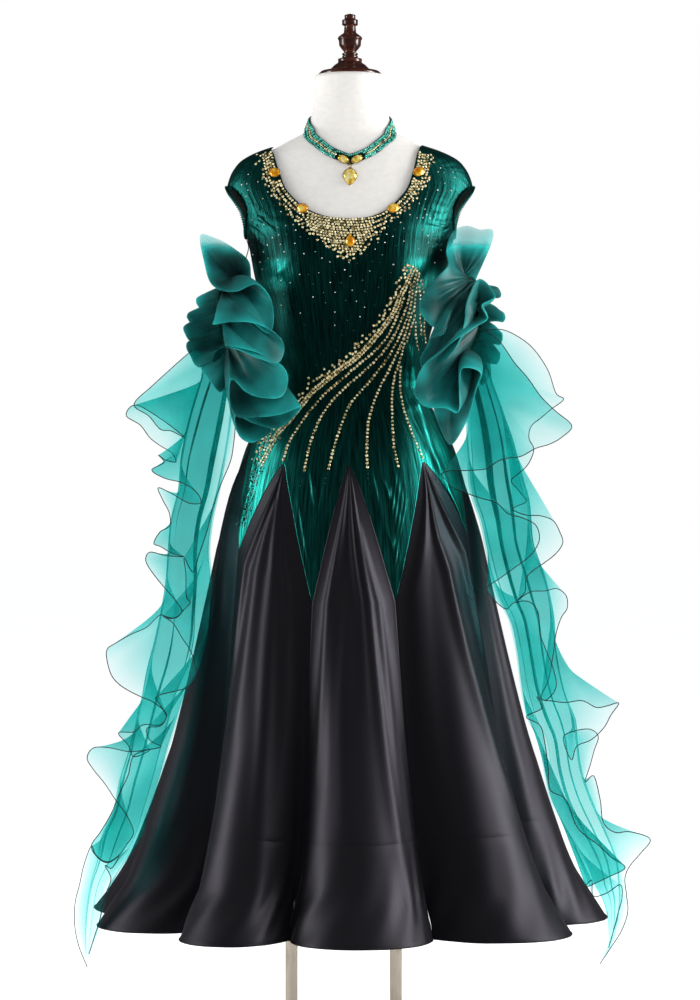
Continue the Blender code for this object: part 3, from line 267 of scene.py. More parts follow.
# Flounces down the floats: row of the sewn edge; column, row, y of the free edge; percent of closeness there.
FLOUNCES = {
    "outer_right": chart("""
        354 192 350 -50 35; 357 173 367 -55 25; 360 153 385 -55 25; 363 134 404 -50 30;
        366 149 416 -70 25; 369 160 429 -85 25; 372 171 431 -90 28; 375 184 437 -90 30;
        378 162 420 -70 28; 382 136 405 -45 40; 386 126 415 -30 15; 390 140 425 -40 8; 396 150 438 -30 5;
        404 160 446 -20 5; 412 171 452 -10 12; 420 176 462 -20 35; 427 166 460 -30 30;
        434 158.5 455 -40 25; 441 164 463 -60 40; 448 151.5 470 -60 55; 455 165 478 -85 45;
        462 180 482 -100 40; 468 192 488 -115 25; 474 199 496 -120 20; 480 200 503 -115 20;
        486 188 503 -100 20; 492 172 494 -60 25; 498 158 488 -30 8; 505 163 500 -30 5; 512 169 513 -30 5;
        518 170 526 -50 15; 524 160 532 -60 35; 530 154 543 -80 30; 536 161 547 -100 30;
        542 172 553 -120 25; 548 184 557 -130 20; 553 166 556 -100 20; 558 150 552 -70 20;
        563 145.5 559 -65 20; 568 149 568 -80 12; 574 160 582 -110 10; 580 175 600 -135 12;
        586 182 612 -140 25; 591 171 619 -135 20; 596 160 615 -130 15; 601 147 627 -120 15;
        606 131 634 -105 15; 611 116 643 -100 18; 617 107 650 -100 15; 625 108 664 -115 1;
        634 113 678 -130 1; 644 124 688 -140 1; 654 141 697 -155 3; 663 153 702 -165 20;
        672 166 714 -175 30; 680 160 725 -175 25; 688 143 725 -165 18; 695 134 732 -155 30;
        702 118.5 733 -145 35; 709 128 745 -150 25; 716 134 757 -155 15; 722 150 750 -170 20;
        728 130 752 -175 18; 734 110 748 -165 18; 741 94 748 -155 20; 749 87 758 -155 6;
        758 93 769 -170 1; 767 105 784 -185 1; 776 116 801 -200 2; 786 127 816 -205 12;
        796 133.5 832 -205 25; 806 127 844 -200 30; 816 119 855 -195 30; 825 107 862 -195 25;
        833 96 855 -185 25; 841 91 846 -180 15; 850 84 865 -185 2; 862 79 885 -190 1; 876 75 903 -200 1;
        892 75 925 -205 1; 910 79 946 -210 1; 930 87 967 -210 1
    """, 1, 1, 1, MM, 100),
    "inner_right": chart("""
        385 234 410 -60 12; 395 235 425 -65 8; 408 234 442 -70 8; 422 231 460 -75 8; 436 222 482 -80 12;
        450 214 505 -90 12; 464 207 530 -100 15; 478 199 555 -110 18; 490 193 572 -120 25;
        502 184 558 -125 20; 514 186 575 -130 18; 526 186 596 -135 25; 536 190.5 603 -140 25;
        546 183 611 -145 25; 556 175 618 -150 22; 564 163 616 -150 10; 572 173 623 -155 8;
        580 182 638 -165 8; 590 190 650 -170 12; 600 195 663 -170 18; 610 196 676 -175 22;
        620 188 687 -180 28; 630 172 692 -180 28; 640 156 697 -175 28; 650 160 705 -175 28;
        660 166 717 -175 28; 670 160 726 -175 28; 680 147 728 -170 15; 692 150 740 -180 25;
        704 161 747 -185 28; 714 146 750 -190 22; 724 133 757 -190 15; 736 128 775 -195 8;
        748 120 793 -200 12; 760 112 812 -205 25; 772 100 832 -205 32; 784 91.5 846 -200 32;
        796 97 857 -205 32; 808 108 863 -210 32; 820 119 856 -210 25; 832 112 868 -215 15;
        844 105 866 -215 15; 856 111 878 -210 6; 868 106 893 -205 2; 882 102 908 -205 1;
        896 99 922 -205 1; 912 94 938 -205 1; 928 89 954 -205 1
    """, 1, 1, 1, MM, 100),
    "outer_left": chart("""
        353 486 330 -20 25; 356 506 331 -20 6; 359 530 345 -20 3; 363 547 369 -30 3; 367 556 393 -40 5;
        371 563.5 399 -50 8; 375 552 409 -60 3; 379 541 418 -70 3; 383 531 426 -75 6; 388 529 438 -80 8;
        393 534 450 -80 8; 398 528 464 -75 8; 404 518 474 -70 12; 410 511 481 -60 25; 416 520 492 -40 25;
        423 526 502 -50 12; 430 513 509 -70 12; 438 526 515 -80 4; 446 540 516 -90 2; 454 553 521 -95 2;
        462 560 532 -100 2; 471 563 543 -110 2; 482 556 554 -130 1; 493 545 562 -140 1;
        504 533 571 -150 5; 514 526 579 -155 12; 523 525 591 -155 12; 532 518 600 -150 25;
        541 530 592 -140 18; 550 545 591 -130 10; 559 557 589 -120 5; 568 566 596 -120 3;
        577 567 608 -130 3; 586 561 618 -140 5; 594 556 634 -145 6; 602 553 655 -150 10;
        610 548 680 -160 20; 617 541 698 -175 22; 624 552 701 -185 12; 632 566 702 -185 8;
        640 582 701 -180 6; 648 596 707 -175 6; 656 607 706 -170 8; 664 618.5 703 -165 8;
        674 611 715 -180 1; 685 604 728 -190 1; 697 591 740 -200 1; 709 577 746 -205 6;
        719 571 760 -205 20; 727 563 738 -200 20; 735 575 731 -190 5; 743 590 729 -180 4;
        751 598 737 -175 2; 759 594 750 -180 2; 767 590 765 -185 3; 775 585 782 -190 5;
        784 594 776 -185 4; 793 600 800 -190 4; 802 603 822 -200 8; 810 615 832 -205 6;
        817 630 832 -200 6; 824 650.5 839 -190 8; 834 641 853 -210 1; 844 630 866 -220 1;
        854 625 878 -220 1; 865 627 895 -220 2; 877 628 912 -220 2; 890 622 930 -220 2;
        905 612 946 -220 1; 920 600 964 -220 1
    """, 1, 1, 1, MM, 100),
    "inner_left": chart("""
        353 484 330 -60 50; 357 500 342 -65 42; 361 515 363 -70 42; 366 528 379 -75 42;
        371 541 396 -80 40; 376 556 411 -85 30; 381 572 426 -85 25; 386 562 437 -100 8;
        391 549 444 -110 6; 397 535 449 -120 8; 403 522 456 -130 25; 409 508 458 -135 35;
        415 497 462 -140 35; 421 485 469 -140 35; 427 468 471 -135 25; 433 452 470 -120 20;
        439 441 475 -100 20; 446 450 486 -100 20; 453 466 493 -120 25; 461 482 499 -140 25;
        469 497 503 -150 18; 478 508 513 -155 18; 487 522 518 -155 8; 496 536 525 -150 3;
        505 539.5 538 -155 3; 514 535 550 -160 5; 524 525 560 -165 18; 534 512 570 -170 30;
        544 500 578 -170 30; 554 487 588 -170 30; 564 492 597 -160 25; 574 506 609 -165 25;
        583 514 603 -170 20; 592 529 602 -175 6; 601 538 612 -180 6; 611 540 634 -185 22;
        622 545 648 -190 28; 633 553 668 -195 28; 644 556 688 -200 28; 654 546 700 -205 25;
        664 537 697 -205 22; 674 542 708 -205 22; 684 526 717 -200 25; 695 540 726 -200 25;
        707 545 745 -205 25; 719 548 768 -205 28; 731 550 790 -210 30; 743 566 800 -210 28;
        755 578 828 -215 35; 767 599 846 -225 45; 779 612 858 -230 50; 790 625 868 -235 50;
        801 608 877 -230 50; 812 586 887 -225 45; 822 592 880 -220 25; 832 593 896 -220 5;
        843 606 893 -225 2; 855 620 885 -225 2; 868 622 898 -225 2; 882 617 916 -225 2;
        897 613 932 -225 2; 912 609 948 -225 2
    """, 1, 1, 1, MM, 100),
}

# Lines on the front of the dress: column and row of each point, and the depth they lie at.
NECK_EDGE = front_line("""
    271.5 148; 273.4 159; 276.9 171.2; 283 184.6; 291 196.6; 302.2 207.2; 314.2 213; 329 216.8;
    350 218.3; 367 217.3; 381.6 213; 392.4 206.4; 403 196.4; 410.4 184.4; 414.2 172.2; 417.6 159;
    419.4 148
""", -0.1)
BAND_EDGE = front_line("""
    260.6 148.6; 263.2 161.6; 267.2 176; 274.9 189.4; 283 201.2; 291 210.5; 301.4 221; 313.2 231.2;
    325 241.8; 336.8 249.5; 350.3 257.3; 355.5 253; 365.4 242.8; 376.5 232.4; 386.6 222; 398.6 210.3;
    407.8 201.2; 415.6 192; 421.8 182.4; 427.3 173; 429.8 161.6; 430.8 148.6
""", -0.1)
FAN_EDGE = front_line("""
    413.8 268; 407.8 281.4; 400.6 295.8; 393.4 312.6; 381.4 329.4; 369.4 343.8; 355 358.2; 338.2 370.2;
    326.2 379.8; 311.8 391.8; 302.2 403.8; 286.6 423; 275.8 435; 266.2 454.2; 259 466.2
""", -0.11)
HIP_LINE = front_line("""
    276 433; 262 455; 255 475; 250 495; 245.5 510; 242 526
""", -0.06)
# Rays of the fan, each from its apex to its end.
FAN_RAYS = [front_line(ray, -0.11) for ray in """
    415 270; 408 285; 403 300.6; 388.6 334.2; 374.2 351; 359.8 363; 340.6 379.8; 323.8 394.2;
    309.4 411; 297.4 427.8; 287.8 444.6; 283 461.4 /
    416 270; 411 285; 407.8 303; 395.8 331.8; 381.4 353.4; 364.6 370.2; 347.8 384.6; 333.4 399;
    321.4 415.8; 313 435; 308.2 451.8; 304.1 472.2 /
    417 271; 413 288; 410.2 307.8; 400.6 334.2; 388.6 355.8; 376.6 372.6; 362.2 389.4; 350.2 403.8;
    343 420.6; 337 437.4; 332.2 454.2; 328.6 469.8 /
    418 271; 414.5 290; 412.1 310.2; 404.2 336.6; 394.6 358.2; 386.2 375; 377.8 391.8; 371.8 408.6;
    368.2 423; 367 439.8; 366.5 456.6; 367.7 469.8 /
    419 272; 416 292; 413.8 312.6; 406.6 336.6; 400.6 358.2; 394.6 377.4; 392.2 396.6; 392.2 413.4;
    392.9 432.6; 394.6 451.8; 398.2 466.2 /
    419.5 273; 417.5 295; 415 315; 409 334.2; 404.2 351; 401.1 367.8; 400.6 384.6; 403 403.8;
    407.8 420.6; 415 439.8; 423.4 459 /
    416 276; 415.2 286.2; 416.5 303; 416 322.2; 416.8 336.6; 419.8 351 /
    418.6 279; 420.6 298.2; 420.8 317.4; 422.4 334.2 /
    420.6 276; 424.6 293.4; 425.8 310.2; 425 327; 427 340.6
""".split("/")]
# Creases in the front of the bodice: column, row of both ends, half width and height.
CREASES = chart("""
    250.6 208 274.5 229.5 1.8 2.24; 252 220 271 238 1.6 1.68; 255 237 268.7 245 2 2.52;
    249 200 268 214 1.6 1.68; 250 228 262 240 1.5 1.4; 431 206 446 214 1.8 1.96;
    428 222 448 224 1.8 1.96; 430 238 449 236 2 2.24; 427 246 446 244 1.6 1.68;
    433 214 447 219 1.6 1.68; 267 283 290 262 8 2.24; 409 350 417 402 7.5 4.2; 417 402 428 444 8 4.76;
    428 444 445 482.6 6 3.92; 445 482.6 458.4 515 4 3.08; 257.5 442 250 490 4.5 3.08;
    250 490 236.5 546 3.5 3.08; 384 484 400 528 3 3.08; 393 478 404 513 2.6 2.52;
    389 538 397 562 2.6 2.66; 312 474 316 510 2.6 2.8; 326 470 322 506 2.4 1.68;
    352 474 354 512 2.6 1.68; 372 474 378 506 2.4 1.82; 288 470 284 520 3 2.24;
    300 505 309 560 2.6 1.68; 404 555 399 590 2 1.68; 322 492 318 545 2.4 1.4; 264 355 276 380 3.5 1.4;
    268 372 286 392 3 1.4; 438 352 424 380 3.5 1.4; 436 374 418 396 3 1.4; 262 392 290 402 3 1.26;
    430 398 412 408 3 1.26
""", 1, 1, 1, 1, MM, MM)
CREASE_STARTS, CREASE_ENDS = (
    np.stack(seen_at(*CREASES[:, i : i + 2].T, -0.1), -1).round(4) for i in (0, 2)
)
# Front-view places of the large stones, which the small ones leave free.
LARGE_PLACES = front_line("275 172.3; 419 171.4; 302.9 207; 392.2 207; 350.2 241", -0.1)
# Outline of the field of loose stones.
LOOSE_FIELD = front_line("""
    258 150; 266 178; 289 209; 322 234; 350 262; 378 234; 411 209; 434 178; 442 150; 458 165; 462 184;
    449 190; 446 215; 444 245; 436 262; 421 270; 395 298; 362 330; 330 362; 300 388; 276 412; 262 420;
    266 392; 278 360; 270 320; 258 290; 252 262; 250 240; 248 215; 242 198; 232 182; 240 165
""", -0.1, 3)


# ---------------------------------------------------------------- surfaces
def along(table, at):
    """Every column of a table at the places `at`, on a smooth curve through its rows."""
    table = np.asarray(table, float)
    keys, values = table[:, 0], table[:, 1:]
    slopes = np.gradient(values, keys, axis=0)
    at = np.clip(np.asarray(at, float), keys[0], keys[-1])
    low = np.clip(np.searchsorted(keys, at, side="right") - 1, 0, len(keys) - 2)
    span = (keys[low + 1] - keys[low])[..., None]
    t = (at - keys[low])[..., None] / span
    start = (1 + 2 * t) * (1 - t) ** 2 * values[low] + t * (1 - t) ** 2 * span * slopes[low]
    end = t**2 * (3 - 2 * t) * values[low + 1] - t**2 * (1 - t) * span * slopes[low + 1]
    return start + end


def through(rows, share):
    """Every column of a table without keys, at shares 0 to 1 of the way down its rows."""
    rows = np.asarray(rows, float)
    keyed = np.column_stack([np.linspace(0, 1, len(rows)), rows])
    return along(keyed, share)


def unstacked(values):
    """The columns of an array of rows, one by one."""
    return np.moveaxis(values, -1, 0)


def section(table, deg, height):
    """Points of the rounded sections that a table of half width, front and back gives."""
    height = np.asarray(height, float) + 0 * np.asarray(deg, float)
    width, front, back = unstacked(along(table, height))
    side, ahead = np.sin(np.radians(deg)), np.cos(np.radians(deg))
    x = width * np.sign(side) * np.abs(side) ** ROUND
    y = -np.where(ahead > 0, front, back) * np.sign(ahead) * np.abs(ahead) ** ROUND
    swell = sum(np.exp(-(((x - s * BUST_OUT) / BUST_WIDE) ** 2)) for s in (-1, 1))
    swell = swell * np.exp(-(((height - BUST_UP) / BUST_TALL) ** 2))
    y = y - BUST_RISE * swell * np.clip(ahead, 0, 1)
    return np.stack([x, y, height], -1)


def body(deg, height):
    return section(BODY, deg, height)


def form(deg, height):
    return section(FORM, deg, height)


def unit(vectors):
    size = np.linalg.norm(vectors, axis=-1, keepdims=True)
    return vectors / np.maximum(size, 1e-9)


def outward(surface, deg, height, step=0.02):
    """Unit normals of a surface of (deg, height), pointing away from the body."""
    round_it = surface(deg + step, height) - surface(deg - step, height)
    up = surface(deg, height + step / 100) - surface(deg, height - step / 100)
    return unit(np.cross(round_it, up))


def clear_of_dress(points, gap):
    """Points moved straight out from the axis until they clear the dress and its flutes."""
    x, y, z = unstacked(points)
    width, front, back = unstacked(along(BODY, z))
    fall = np.clip((SKIRT_TOP - z) / (SKIRT_TOP - HEM), 0, 1)
    flute = DEEPEST_FLUTE * fall**FLUTE_START + gap + CLOTH
    depth = np.where(y < 0, front, back) + flute
    power = 2 / ROUND
    inside = (np.abs(x / (width + flute)) ** power + np.abs(y / depth) ** power) ** (1 / power)
    nearest = 0.2
    push = np.where((inside < 1) & (z < SHOULDER_CLEAR), 1 / np.maximum(inside, nearest), 1)
    return np.stack([x * push, y * push, z], -1)


def valley_of(gore, right):
    """The valley on one side of a gore, its angles counted near that gore."""
    number = gore if right else gore - 1
    tip_deg, tip, hem_deg = VALLEYS[number]
    turn = -360 if number < 0 else 0
    return tip_deg + turn, tip, hem_deg + turn


def seam(gore, right, down):
    """Angle and height on one side of a gore. down: 0 apex, 1 point's tip, 2 band seam, 3 hem."""
    apex_deg, apex = GORES[gore, :2]
    tip_deg, tip, hem_deg = valley_of(gore, right)
    f = np.clip(down, 0, 1)
    height = apex + f * (tip - apex) + np.clip(down - 1, 0, 1) * (BAND - tip)
    height = height + np.clip(down - 2, 0, 1) * (HEM - BAND)
    drop = np.clip((tip - height) / (tip - HEM), 0, 1)
    deg = apex_deg + (tip_deg - apex_deg) * f**POINT_CURVE + drop * (hem_deg - tip_deg)
    return deg, height


def seam_height(deg):
    """Height of the line where the bodice ends and the skirt begins, at angles from -91 to 269."""
    degs, heights = [], []
    shares = np.linspace(0, 1, 25)
    for gore in range(len(GORES)):
        for right in (False, True):
            line = seam(gore, right, shares if right else shares[::-1])
            degs.append(line[0])
            heights.append(line[1])
    degs, heights = np.concatenate(degs), np.concatenate(heights)
    degs = np.concatenate([degs - 360, degs, degs + 360])
    heights = np.tile(heights, 3)
    order = np.argsort(degs, kind="stable")
    return np.interp(deg, degs[order], heights[order])


def gore_surface(gore, down, across):
    """Points of one gore; across runs from 0 at its left seam to 1 at its right seam."""
    apex, depth, lean = GORES[gore, 1:]
    left_deg, left = seam(gore, False, down)
    right_deg, right = seam(gore, True, down)
    height = left + (right - left) * across
    fall = np.clip((apex - height) / (apex - HEM), 0, 1)
    lobe = (0.5 - 0.5 * np.cos(2 * np.pi * across)) ** LOBE_POWER
    pinch = PINCH * np.clip(down - 1, 0, 2) / 2
    share = across - pinch * np.sin(2 * np.pi * across)
    deg = left_deg + (right_deg - left_deg) * share + lean * lobe * fall
    out = (depth * fall**FLUTE_START + BAND_FLARE * np.clip(down - 2, 0, 1) ** 1.5) * lobe
    away = np.stack([np.sin(np.radians(deg)), -np.cos(np.radians(deg)), 0 * deg], -1)
    return body(deg, height) + out[..., None] * away


def gore_normals(gore, down, across, step=0.01):
    """Unit normals of a gore, held off its edges."""
    inner = np.clip(across, 2 * step, 1 - 2 * step)
    lower = np.clip(down, 2 * step, 3 - 2 * step)
    right = gore_surface(gore, lower, inner + step) - gore_surface(gore, lower, inner - step)
    fallen = gore_surface(gore, lower + step, inner) - gore_surface(gore, lower - step, inner)
    return unit(np.cross(fallen, right))


# ---------------------------------------------------------------- mesh helpers
def grid_of(columns, rows, place):
    """A bmesh grid whose points place(u, v) gives; u and v run from 0 to 1 and stay as its UV map."""
    bm = bmesh.new()
    bm.loops.layers.uv.new("UVMap")
    bmesh.ops.create_grid(bm, x_segments=columns, y_segments=rows, size=0.5, calc_uvs=True)
    flat = np.array([vert.co[:2] for vert in bm.verts]) + 0.5
    for vert, point in zip(bm.verts, place(flat[:, 0], flat[:, 1])):
        vert.co = point
    return bm


def merged(parts, weld=1e-5):
    """One bmesh from several, with points that coincide made one."""
    whole = bmesh.new()
    for part in parts:
        mesh = bpy.data.meshes.new("part")
        part.to_mesh(mesh)
        part.free()
        whole.from_mesh(mesh)
        bpy.data.meshes.remove(mesh)
    bmesh.ops.remove_doubles(whole, verts=whole.verts, dist=weld)
    return whole


def welded(bm, weld=1e-5):
    """The same mesh with points that coincide made one, and its faces turned one way."""
    bmesh.ops.remove_doubles(bm, verts=bm.verts, dist=weld)
    bmesh.ops.recalc_face_normals(bm, faces=bm.faces)
    return bm


def moved(bm, matrix):
    bmesh.ops.transform(bm, matrix=matrix, verts=bm.verts)
    return bm


def piece(name, bm, materials, smooth=True, rides=BODY_OF_DRESS, slot=None, replaces=()):
    """A finished object from a bmesh, with its materials, riding on its CAD body."""
    mesh = bpy.data.meshes.new(name)
    bm.to_mesh(mesh)
    bm.free()
    for material in materials:
        mesh.materials.append(material)
    mesh.polygons.foreach_set("use_smooth", [smooth] * len(mesh.polygons))
    made = bpy.data.objects.new(name, mesh)
    bpy.context.scene.collection.objects.link(made)
    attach(made, rides)
    if replaces:
        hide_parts(*replaces)
    return made


def thicken(made, thickness, inner=0, offset=-1.0):
    """A wall from a surface: inwards from its face, with the inner side in material number `inner`."""
    wall = made.modifiers.new("Wall", "SOLIDIFY")
    wall.thickness = thickness
    wall.offset = offset
    wall.material_offset = inner
    wall.use_quality_normals = True
    made.modifiers.new("Edge shading", "WEIGHTED_NORMAL").weight = 80
    return made


def tube(points, radius, sides=6, closed=False):
    """A bmesh tube along points, its ends capped."""
    curve = bpy.data.curves.new("line", "CURVE")
    curve.dimensions = "3D"
    curve.bevel_depth = radius
    curve.bevel_resolution = max(0, sides // 2 - 2)
    curve.use_fill_caps = not closed
    spline = curve.splines.new("POLY")
    spline.points.add(len(points) - 1)
    for point, place in zip(spline.points, points):
        point.co = (*place, 1)
    spline.use_cyclic_u = closed
    holder = bpy.data.objects.new("line", curve)
    mesh = bpy.data.meshes.new_from_object(holder)
    bm = bmesh.new()
    bm.from_mesh(mesh)
    bpy.data.objects.remove(holder)
    bpy.data.curves.remove(curve)
    bpy.data.meshes.remove(mesh)
    return welded(bm, 1e-6)


def lathe(profile, steps):
    """A turned solid from (radius, height) pairs, bottom to top, both ends on the axis."""
    bm = bmesh.new()
    verts = [bm.verts.new((radius, 0, height)) for radius, height in profile]
    edges = [bm.edges.new(pair) for pair in zip(verts[:-1], verts[1:])]
    around = {"cent": (0, 0, 0), "axis": (0, 0, 1), "angle": 2 * math.pi, "steps": steps}
    bmesh.ops.spin(bm, geom=verts + edges, use_merge=True, **around)
    return welded(bm, 1e-6)


# ---------------------------------------------------------------- materials
def options():
    return bpy.context.scene.dance_dress


def blank(name):
    """A new node material with its tree, its Principled shader and its output."""
    made = bpy.data.materials.new(name)
    made.use_nodes = True
    tree = made.node_tree
    return made, tree, tree.nodes["Principled BSDF"], tree.nodes["Material Output"]


def set_input(node, key, value):
    """A plain value on a node's input, or a link to it from a socket."""
    if isinstance(value, bpy.types.NodeSocket):
        node.id_data.links.new(value, node.inputs[key])
    else:
        node.inputs[key].default_value = value


def add(tree, kind, inputs=None, **settings):
    """A node of that kind, with its settings, and its inputs given values or linked to sockets."""
    node = tree.nodes.new(kind)
    for key, value in settings.items():
        setattr(node, key, value)
    for key, value in (inputs or {}).items():
        set_input(node, key, value)
    return node


def finish(shader, **inputs):
    """Values and links on a shader's inputs; underscores stand for spaces."""
    for key, value in inputs.items():
        set_input(shader, key.replace("_", " "), value)


def spread(tree, scale=(1.0, 1.0, 1.0), source="Object"):
    """Texture coordinates multiplied by three numbers."""
    place = add(tree, "ShaderNodeTexCoord")
    return add(tree, "ShaderNodeMapping", {"Vector": place.outputs[source], "Scale": scale}).outputs[0]


def noise(tree, vector, scale=1.0, detail=2.0, roughness=0.5):
    inputs = {"Vector": vector, "Scale": scale, "Detail": detail, "Roughness": roughness}
    return add(tree, "ShaderNodeTexNoise", inputs).outputs["Fac"]


def ramp(tree, factor, stops):
    """Colours from a factor; each stop is (place, colour), or (place, grey level)."""
    node = add(tree, "ShaderNodeValToRGB", {"Fac": factor})
    elements = node.color_ramp.elements
    while len(elements) < len(stops):
        elements.new(0.5)
    for element, (place, colour) in zip(elements, stops):
        element.position = place
        element.color = (*(colour if np.ndim(colour) else (colour,) * 3), 1)
    return node.outputs["Color"]


def mixed(tree, share, first, second, **settings):
    return add(tree, "ShaderNodeMixRGB", {0: share, 1: first, 2: second}, **settings).outputs[0]


def ranged(tree, factor, low, high, start=0.0, end=1.0):
    """A factor from start..end mapped to low..high."""
    inputs = {"Value": factor, "From Min": start, "From Max": end, "To Min": low, "To Max": high}
    return add(tree, "ShaderNodeMapRange", inputs).outputs[0]


def bump(tree, height, distance, strength=1.0, under=None):
    inputs = {"Height": height, "Distance": distance, "Strength": strength}
    if under:
        inputs["Normal"] = under
    return add(tree, "ShaderNodeBump", inputs).outputs[0]


def scaled(colour, factor):
    return tuple(factor * channel for channel in colour[:3])


# Painted highlight and shade on the foil: the share its colour is multiplied by at each height, down the
# bodice's sides and down its middle, high at the bust and the hips and low between.
FOIL_LOW, FOIL_SPAN = 0.70, 0.90
PAINTED_SHEEN_SIDES = chart("""
    .75 .9; 1.1 1; 1.19 .9; 1.23 .22; 1.295 .14; 1.315 .9; 1.338 .9; 1.355 .15; 1.385 .12; 1.405 .42;
    1.45 .3; 1.53 .46
""")
PAINTED_SHEEN_MIDDLE = chart(".75 .55; 1.06 .42; 1.16 .3; 1.3 .32; 1.45 .36; 1.53 .46")


@cache
def foil():
    """Green foil on knitted jersey: vertical crinkles, grain, and painted highlight and shade by height."""
    made, tree, shader, _ = blank("Foil jersey")
    colour = options().foil_colour
    crinkle = noise(tree, spread(tree, (250.0, 8.0, 1.0), "UV"), 1.0, 2.0, 0.55)
    broad = noise(tree, spread(tree, (90.0, 4.0, 1.0), "UV"))
    grain = noise(tree, spread(tree), 1100.0, 2.0, 0.7)
    cracked = ramp(tree, crinkle, [(0.37, scaled(colour, 0.24)), (0.63, colour)])
    place = add(tree, "ShaderNodeTexCoord").outputs["Object"]
    parts = add(tree, "ShaderNodeSeparateXYZ", {0: place}).outputs
    height = ranged(tree, parts["Z"], 0.0, 1.0, FOIL_LOW, FOIL_LOW + FOIL_SPAN)
    shares = []
    for table in (PAINTED_SHEEN_MIDDLE, PAINTED_SHEEN_SIDES):
        shares.append(ramp(tree, height, [((z - FOIL_LOW) / FOIL_SPAN, share) for z, share in table]))
    # Painted highlight and shade: the middle's or the sides' share, picked by distance from the middle,
    # multiplies the foil's colour.
    off = add(tree, "ShaderNodeMath", {0: parts["X"]}, operation="ABSOLUTE").outputs[0]
    painted_sheen = mixed(tree, ranged(tree, off, 0.0, 1.0, 0.080, 0.115), *shares)
    lines = bump(tree, broad, 0.0010, 0.25, bump(tree, crinkle, 0.0007, 0.45))
    finish(
        shader,
        Base_Color=mixed(tree, 1.0, cracked, painted_sheen, blend_type="MULTIPLY"),
        Roughness=ranged(tree, grain, 0.27, 0.44, 0.3, 0.7),
        Normal=bump(tree, grain, 0.0003, 0.18, lines),
        Metallic=0.93,
        Specular_IOR_Level=0.4,
    )
    return made


@cache
def knit_back():
    """The jersey's wrong side: matt black knit."""
    made, tree, shader, _ = blank("Jersey back")
    rib = noise(tree, spread(tree, (1400.0, 1400.0, 500.0)), 1.0, 1.0)
    tone = ramp(tree, rib, [(0.3, (0.004, 0.005, 0.005)), (0.7, (0.014, 0.018, 0.017))])
    finish(shader, Base_Color=tone, Normal=bump(tree, rib, 0.0003, 0.6), Roughness=0.85, Sheen_Weight=0.15)
    return made


def satin_material(name, colour, rough, sheen):
    """Matt elastic satin: a soft wide gloss with a fine grain."""
    made, tree, shader, _ = blank(name)
    grain = noise(tree, spread(tree, (1.0, 1.0, 0.35)), 1300.0, 2.0, 0.7)
    cloud = noise(tree, spread(tree, (9.0, 9.0, 4.0)))
    finish(
        shader,
        Base_Color=ramp(tree, grain, [(0.30, scaled(colour, 0.70)), (0.70, scaled(colour, 1.40))]),
        Roughness=ranged(tree, cloud, rough - 0.05, rough + 0.06),
        Normal=bump(tree, grain, 0.0003, 0.22),
        Specular_IOR_Level=0.42,
        Specular_Tint=(0.90, 0.85, 1.0, 1),
        Sheen_Weight=sheen,
        Sheen_Roughness=0.30,
        Sheen_Tint=(0.88, 0.80, 0.96, 1),
    )
    return made


@cache
def satin():
    return satin_material("Satin", options().satin_colour, 0.46, 0.06)


@cache
def satin_back():
    return satin_material("Satin back", (0.035, 0.035, 0.038), 0.55, 0.05)


# Looks of organza from its sheer free edges to its close gathers: place, share. How much it covers, and its
# painted shade there: darker towards the close gathers, with a painted highlight at the doubled ruffles'
# rims.
SHEER_COVERS, SHEER_PAINTED_SHADES = chart("0 .01; 1 .36"), chart(".1 1.6; .4 1.3; .7 .8; .95 .24")
DOUBLED_COVERS = chart(".03 .06; .19 .52; .6 .92; .95 .97")
DOUBLED_PAINTED_SHADES = chart(".05 1.4; .2 2.4; .25 1.8; .34 1.35; .52 .7; .75 .28; .95 .1")
SEEN_THROUGH = [(0.0, (0.935, 0.988, 0.990)), (0.5, (0.50, 0.94, 0.92)), (1.0, (0.20, 0.80, 0.78))]


def organza_material(name, covers, painted_shades):
    """Sheer crisp organza: see-through and faintly tinted, closing up where the attribute gather is high."""
    made, tree, shader, output = blank(name)
    colour = options().organza_colour
    gather = add(tree, "ShaderNodeAttribute", attribute_name="gather").outputs["Fac"]
    weave = noise(tree, spread(tree), 1500.0, 1.0)
    slub = noise(tree, spread(tree, (30.0, 30.0, 10.0)))
    streaks = ramp(tree, slub, [(0.3, 0.0), (0.7, scaled(colour, 1.5))])
    # Painted shade and highlight: the colour scaled along gather, darker at close gathers, lighter at a
    # doubled ruffle's rim.
    shade = ramp(tree, gather, [(place, scaled(colour, share)) for place, share in painted_shades])
    tone = mixed(tree, 0.25, shade, streaks)
    patches = ramp(tree, noise(tree, spread(tree), 17.0, 1.0), [(0.38, 0.5), (0.60, 1.25)])
    tone = mixed(tree, 1.0, tone, patches, blend_type="MULTIPLY")
    finish(
        shader,
        Base_Color=tone,
        Normal=bump(tree, slub, 0.0008, 0.15),
        Roughness=ranged(tree, weave, 0.36, 0.46, 0.3, 0.7),
        Specular_IOR_Level=0.45,
        Sheen_Weight=0.05,
    )
    glow = add(tree, "ShaderNodeBsdfTranslucent", {"Color": tone})
    cloth = add(tree, "ShaderNodeMixShader", {0: 0.35, 1: shader.outputs[0], 2: glow.outputs[0]})
    open_air = add(tree, "ShaderNodeBsdfTransparent", {"Color": ramp(tree, gather, SEEN_THROUGH)})
    inputs = {0: ramp(tree, gather, covers), 1: open_air.outputs[0], 2: cloth.outputs[0]}
    finish(output, Surface=add(tree, "ShaderNodeMixShader", inputs).outputs[0])
    return made


@cache
def organza():
    return organza_material("Organza", SHEER_COVERS, SHEER_PAINTED_SHADES)


@cache
def organza_doubled():
    return organza_material("Organza doubled", DOUBLED_COVERS, DOUBLED_PAINTED_SHADES)


@cache
def black_thread():
    """Close rolled-edge stitching."""
    made, tree, shader, _ = blank("Black thread")
    colour = (0.012, 0.016, 0.016)
    turns = noise(tree, spread(tree), 1500.0, 1.0)
    tone = ramp(tree, turns, [(0.3, scaled(colour, 0.5)), (0.7, scaled(colour, 1.4))])
    finish(shader, Base_Color=tone, Roughness=0.7)
    return made


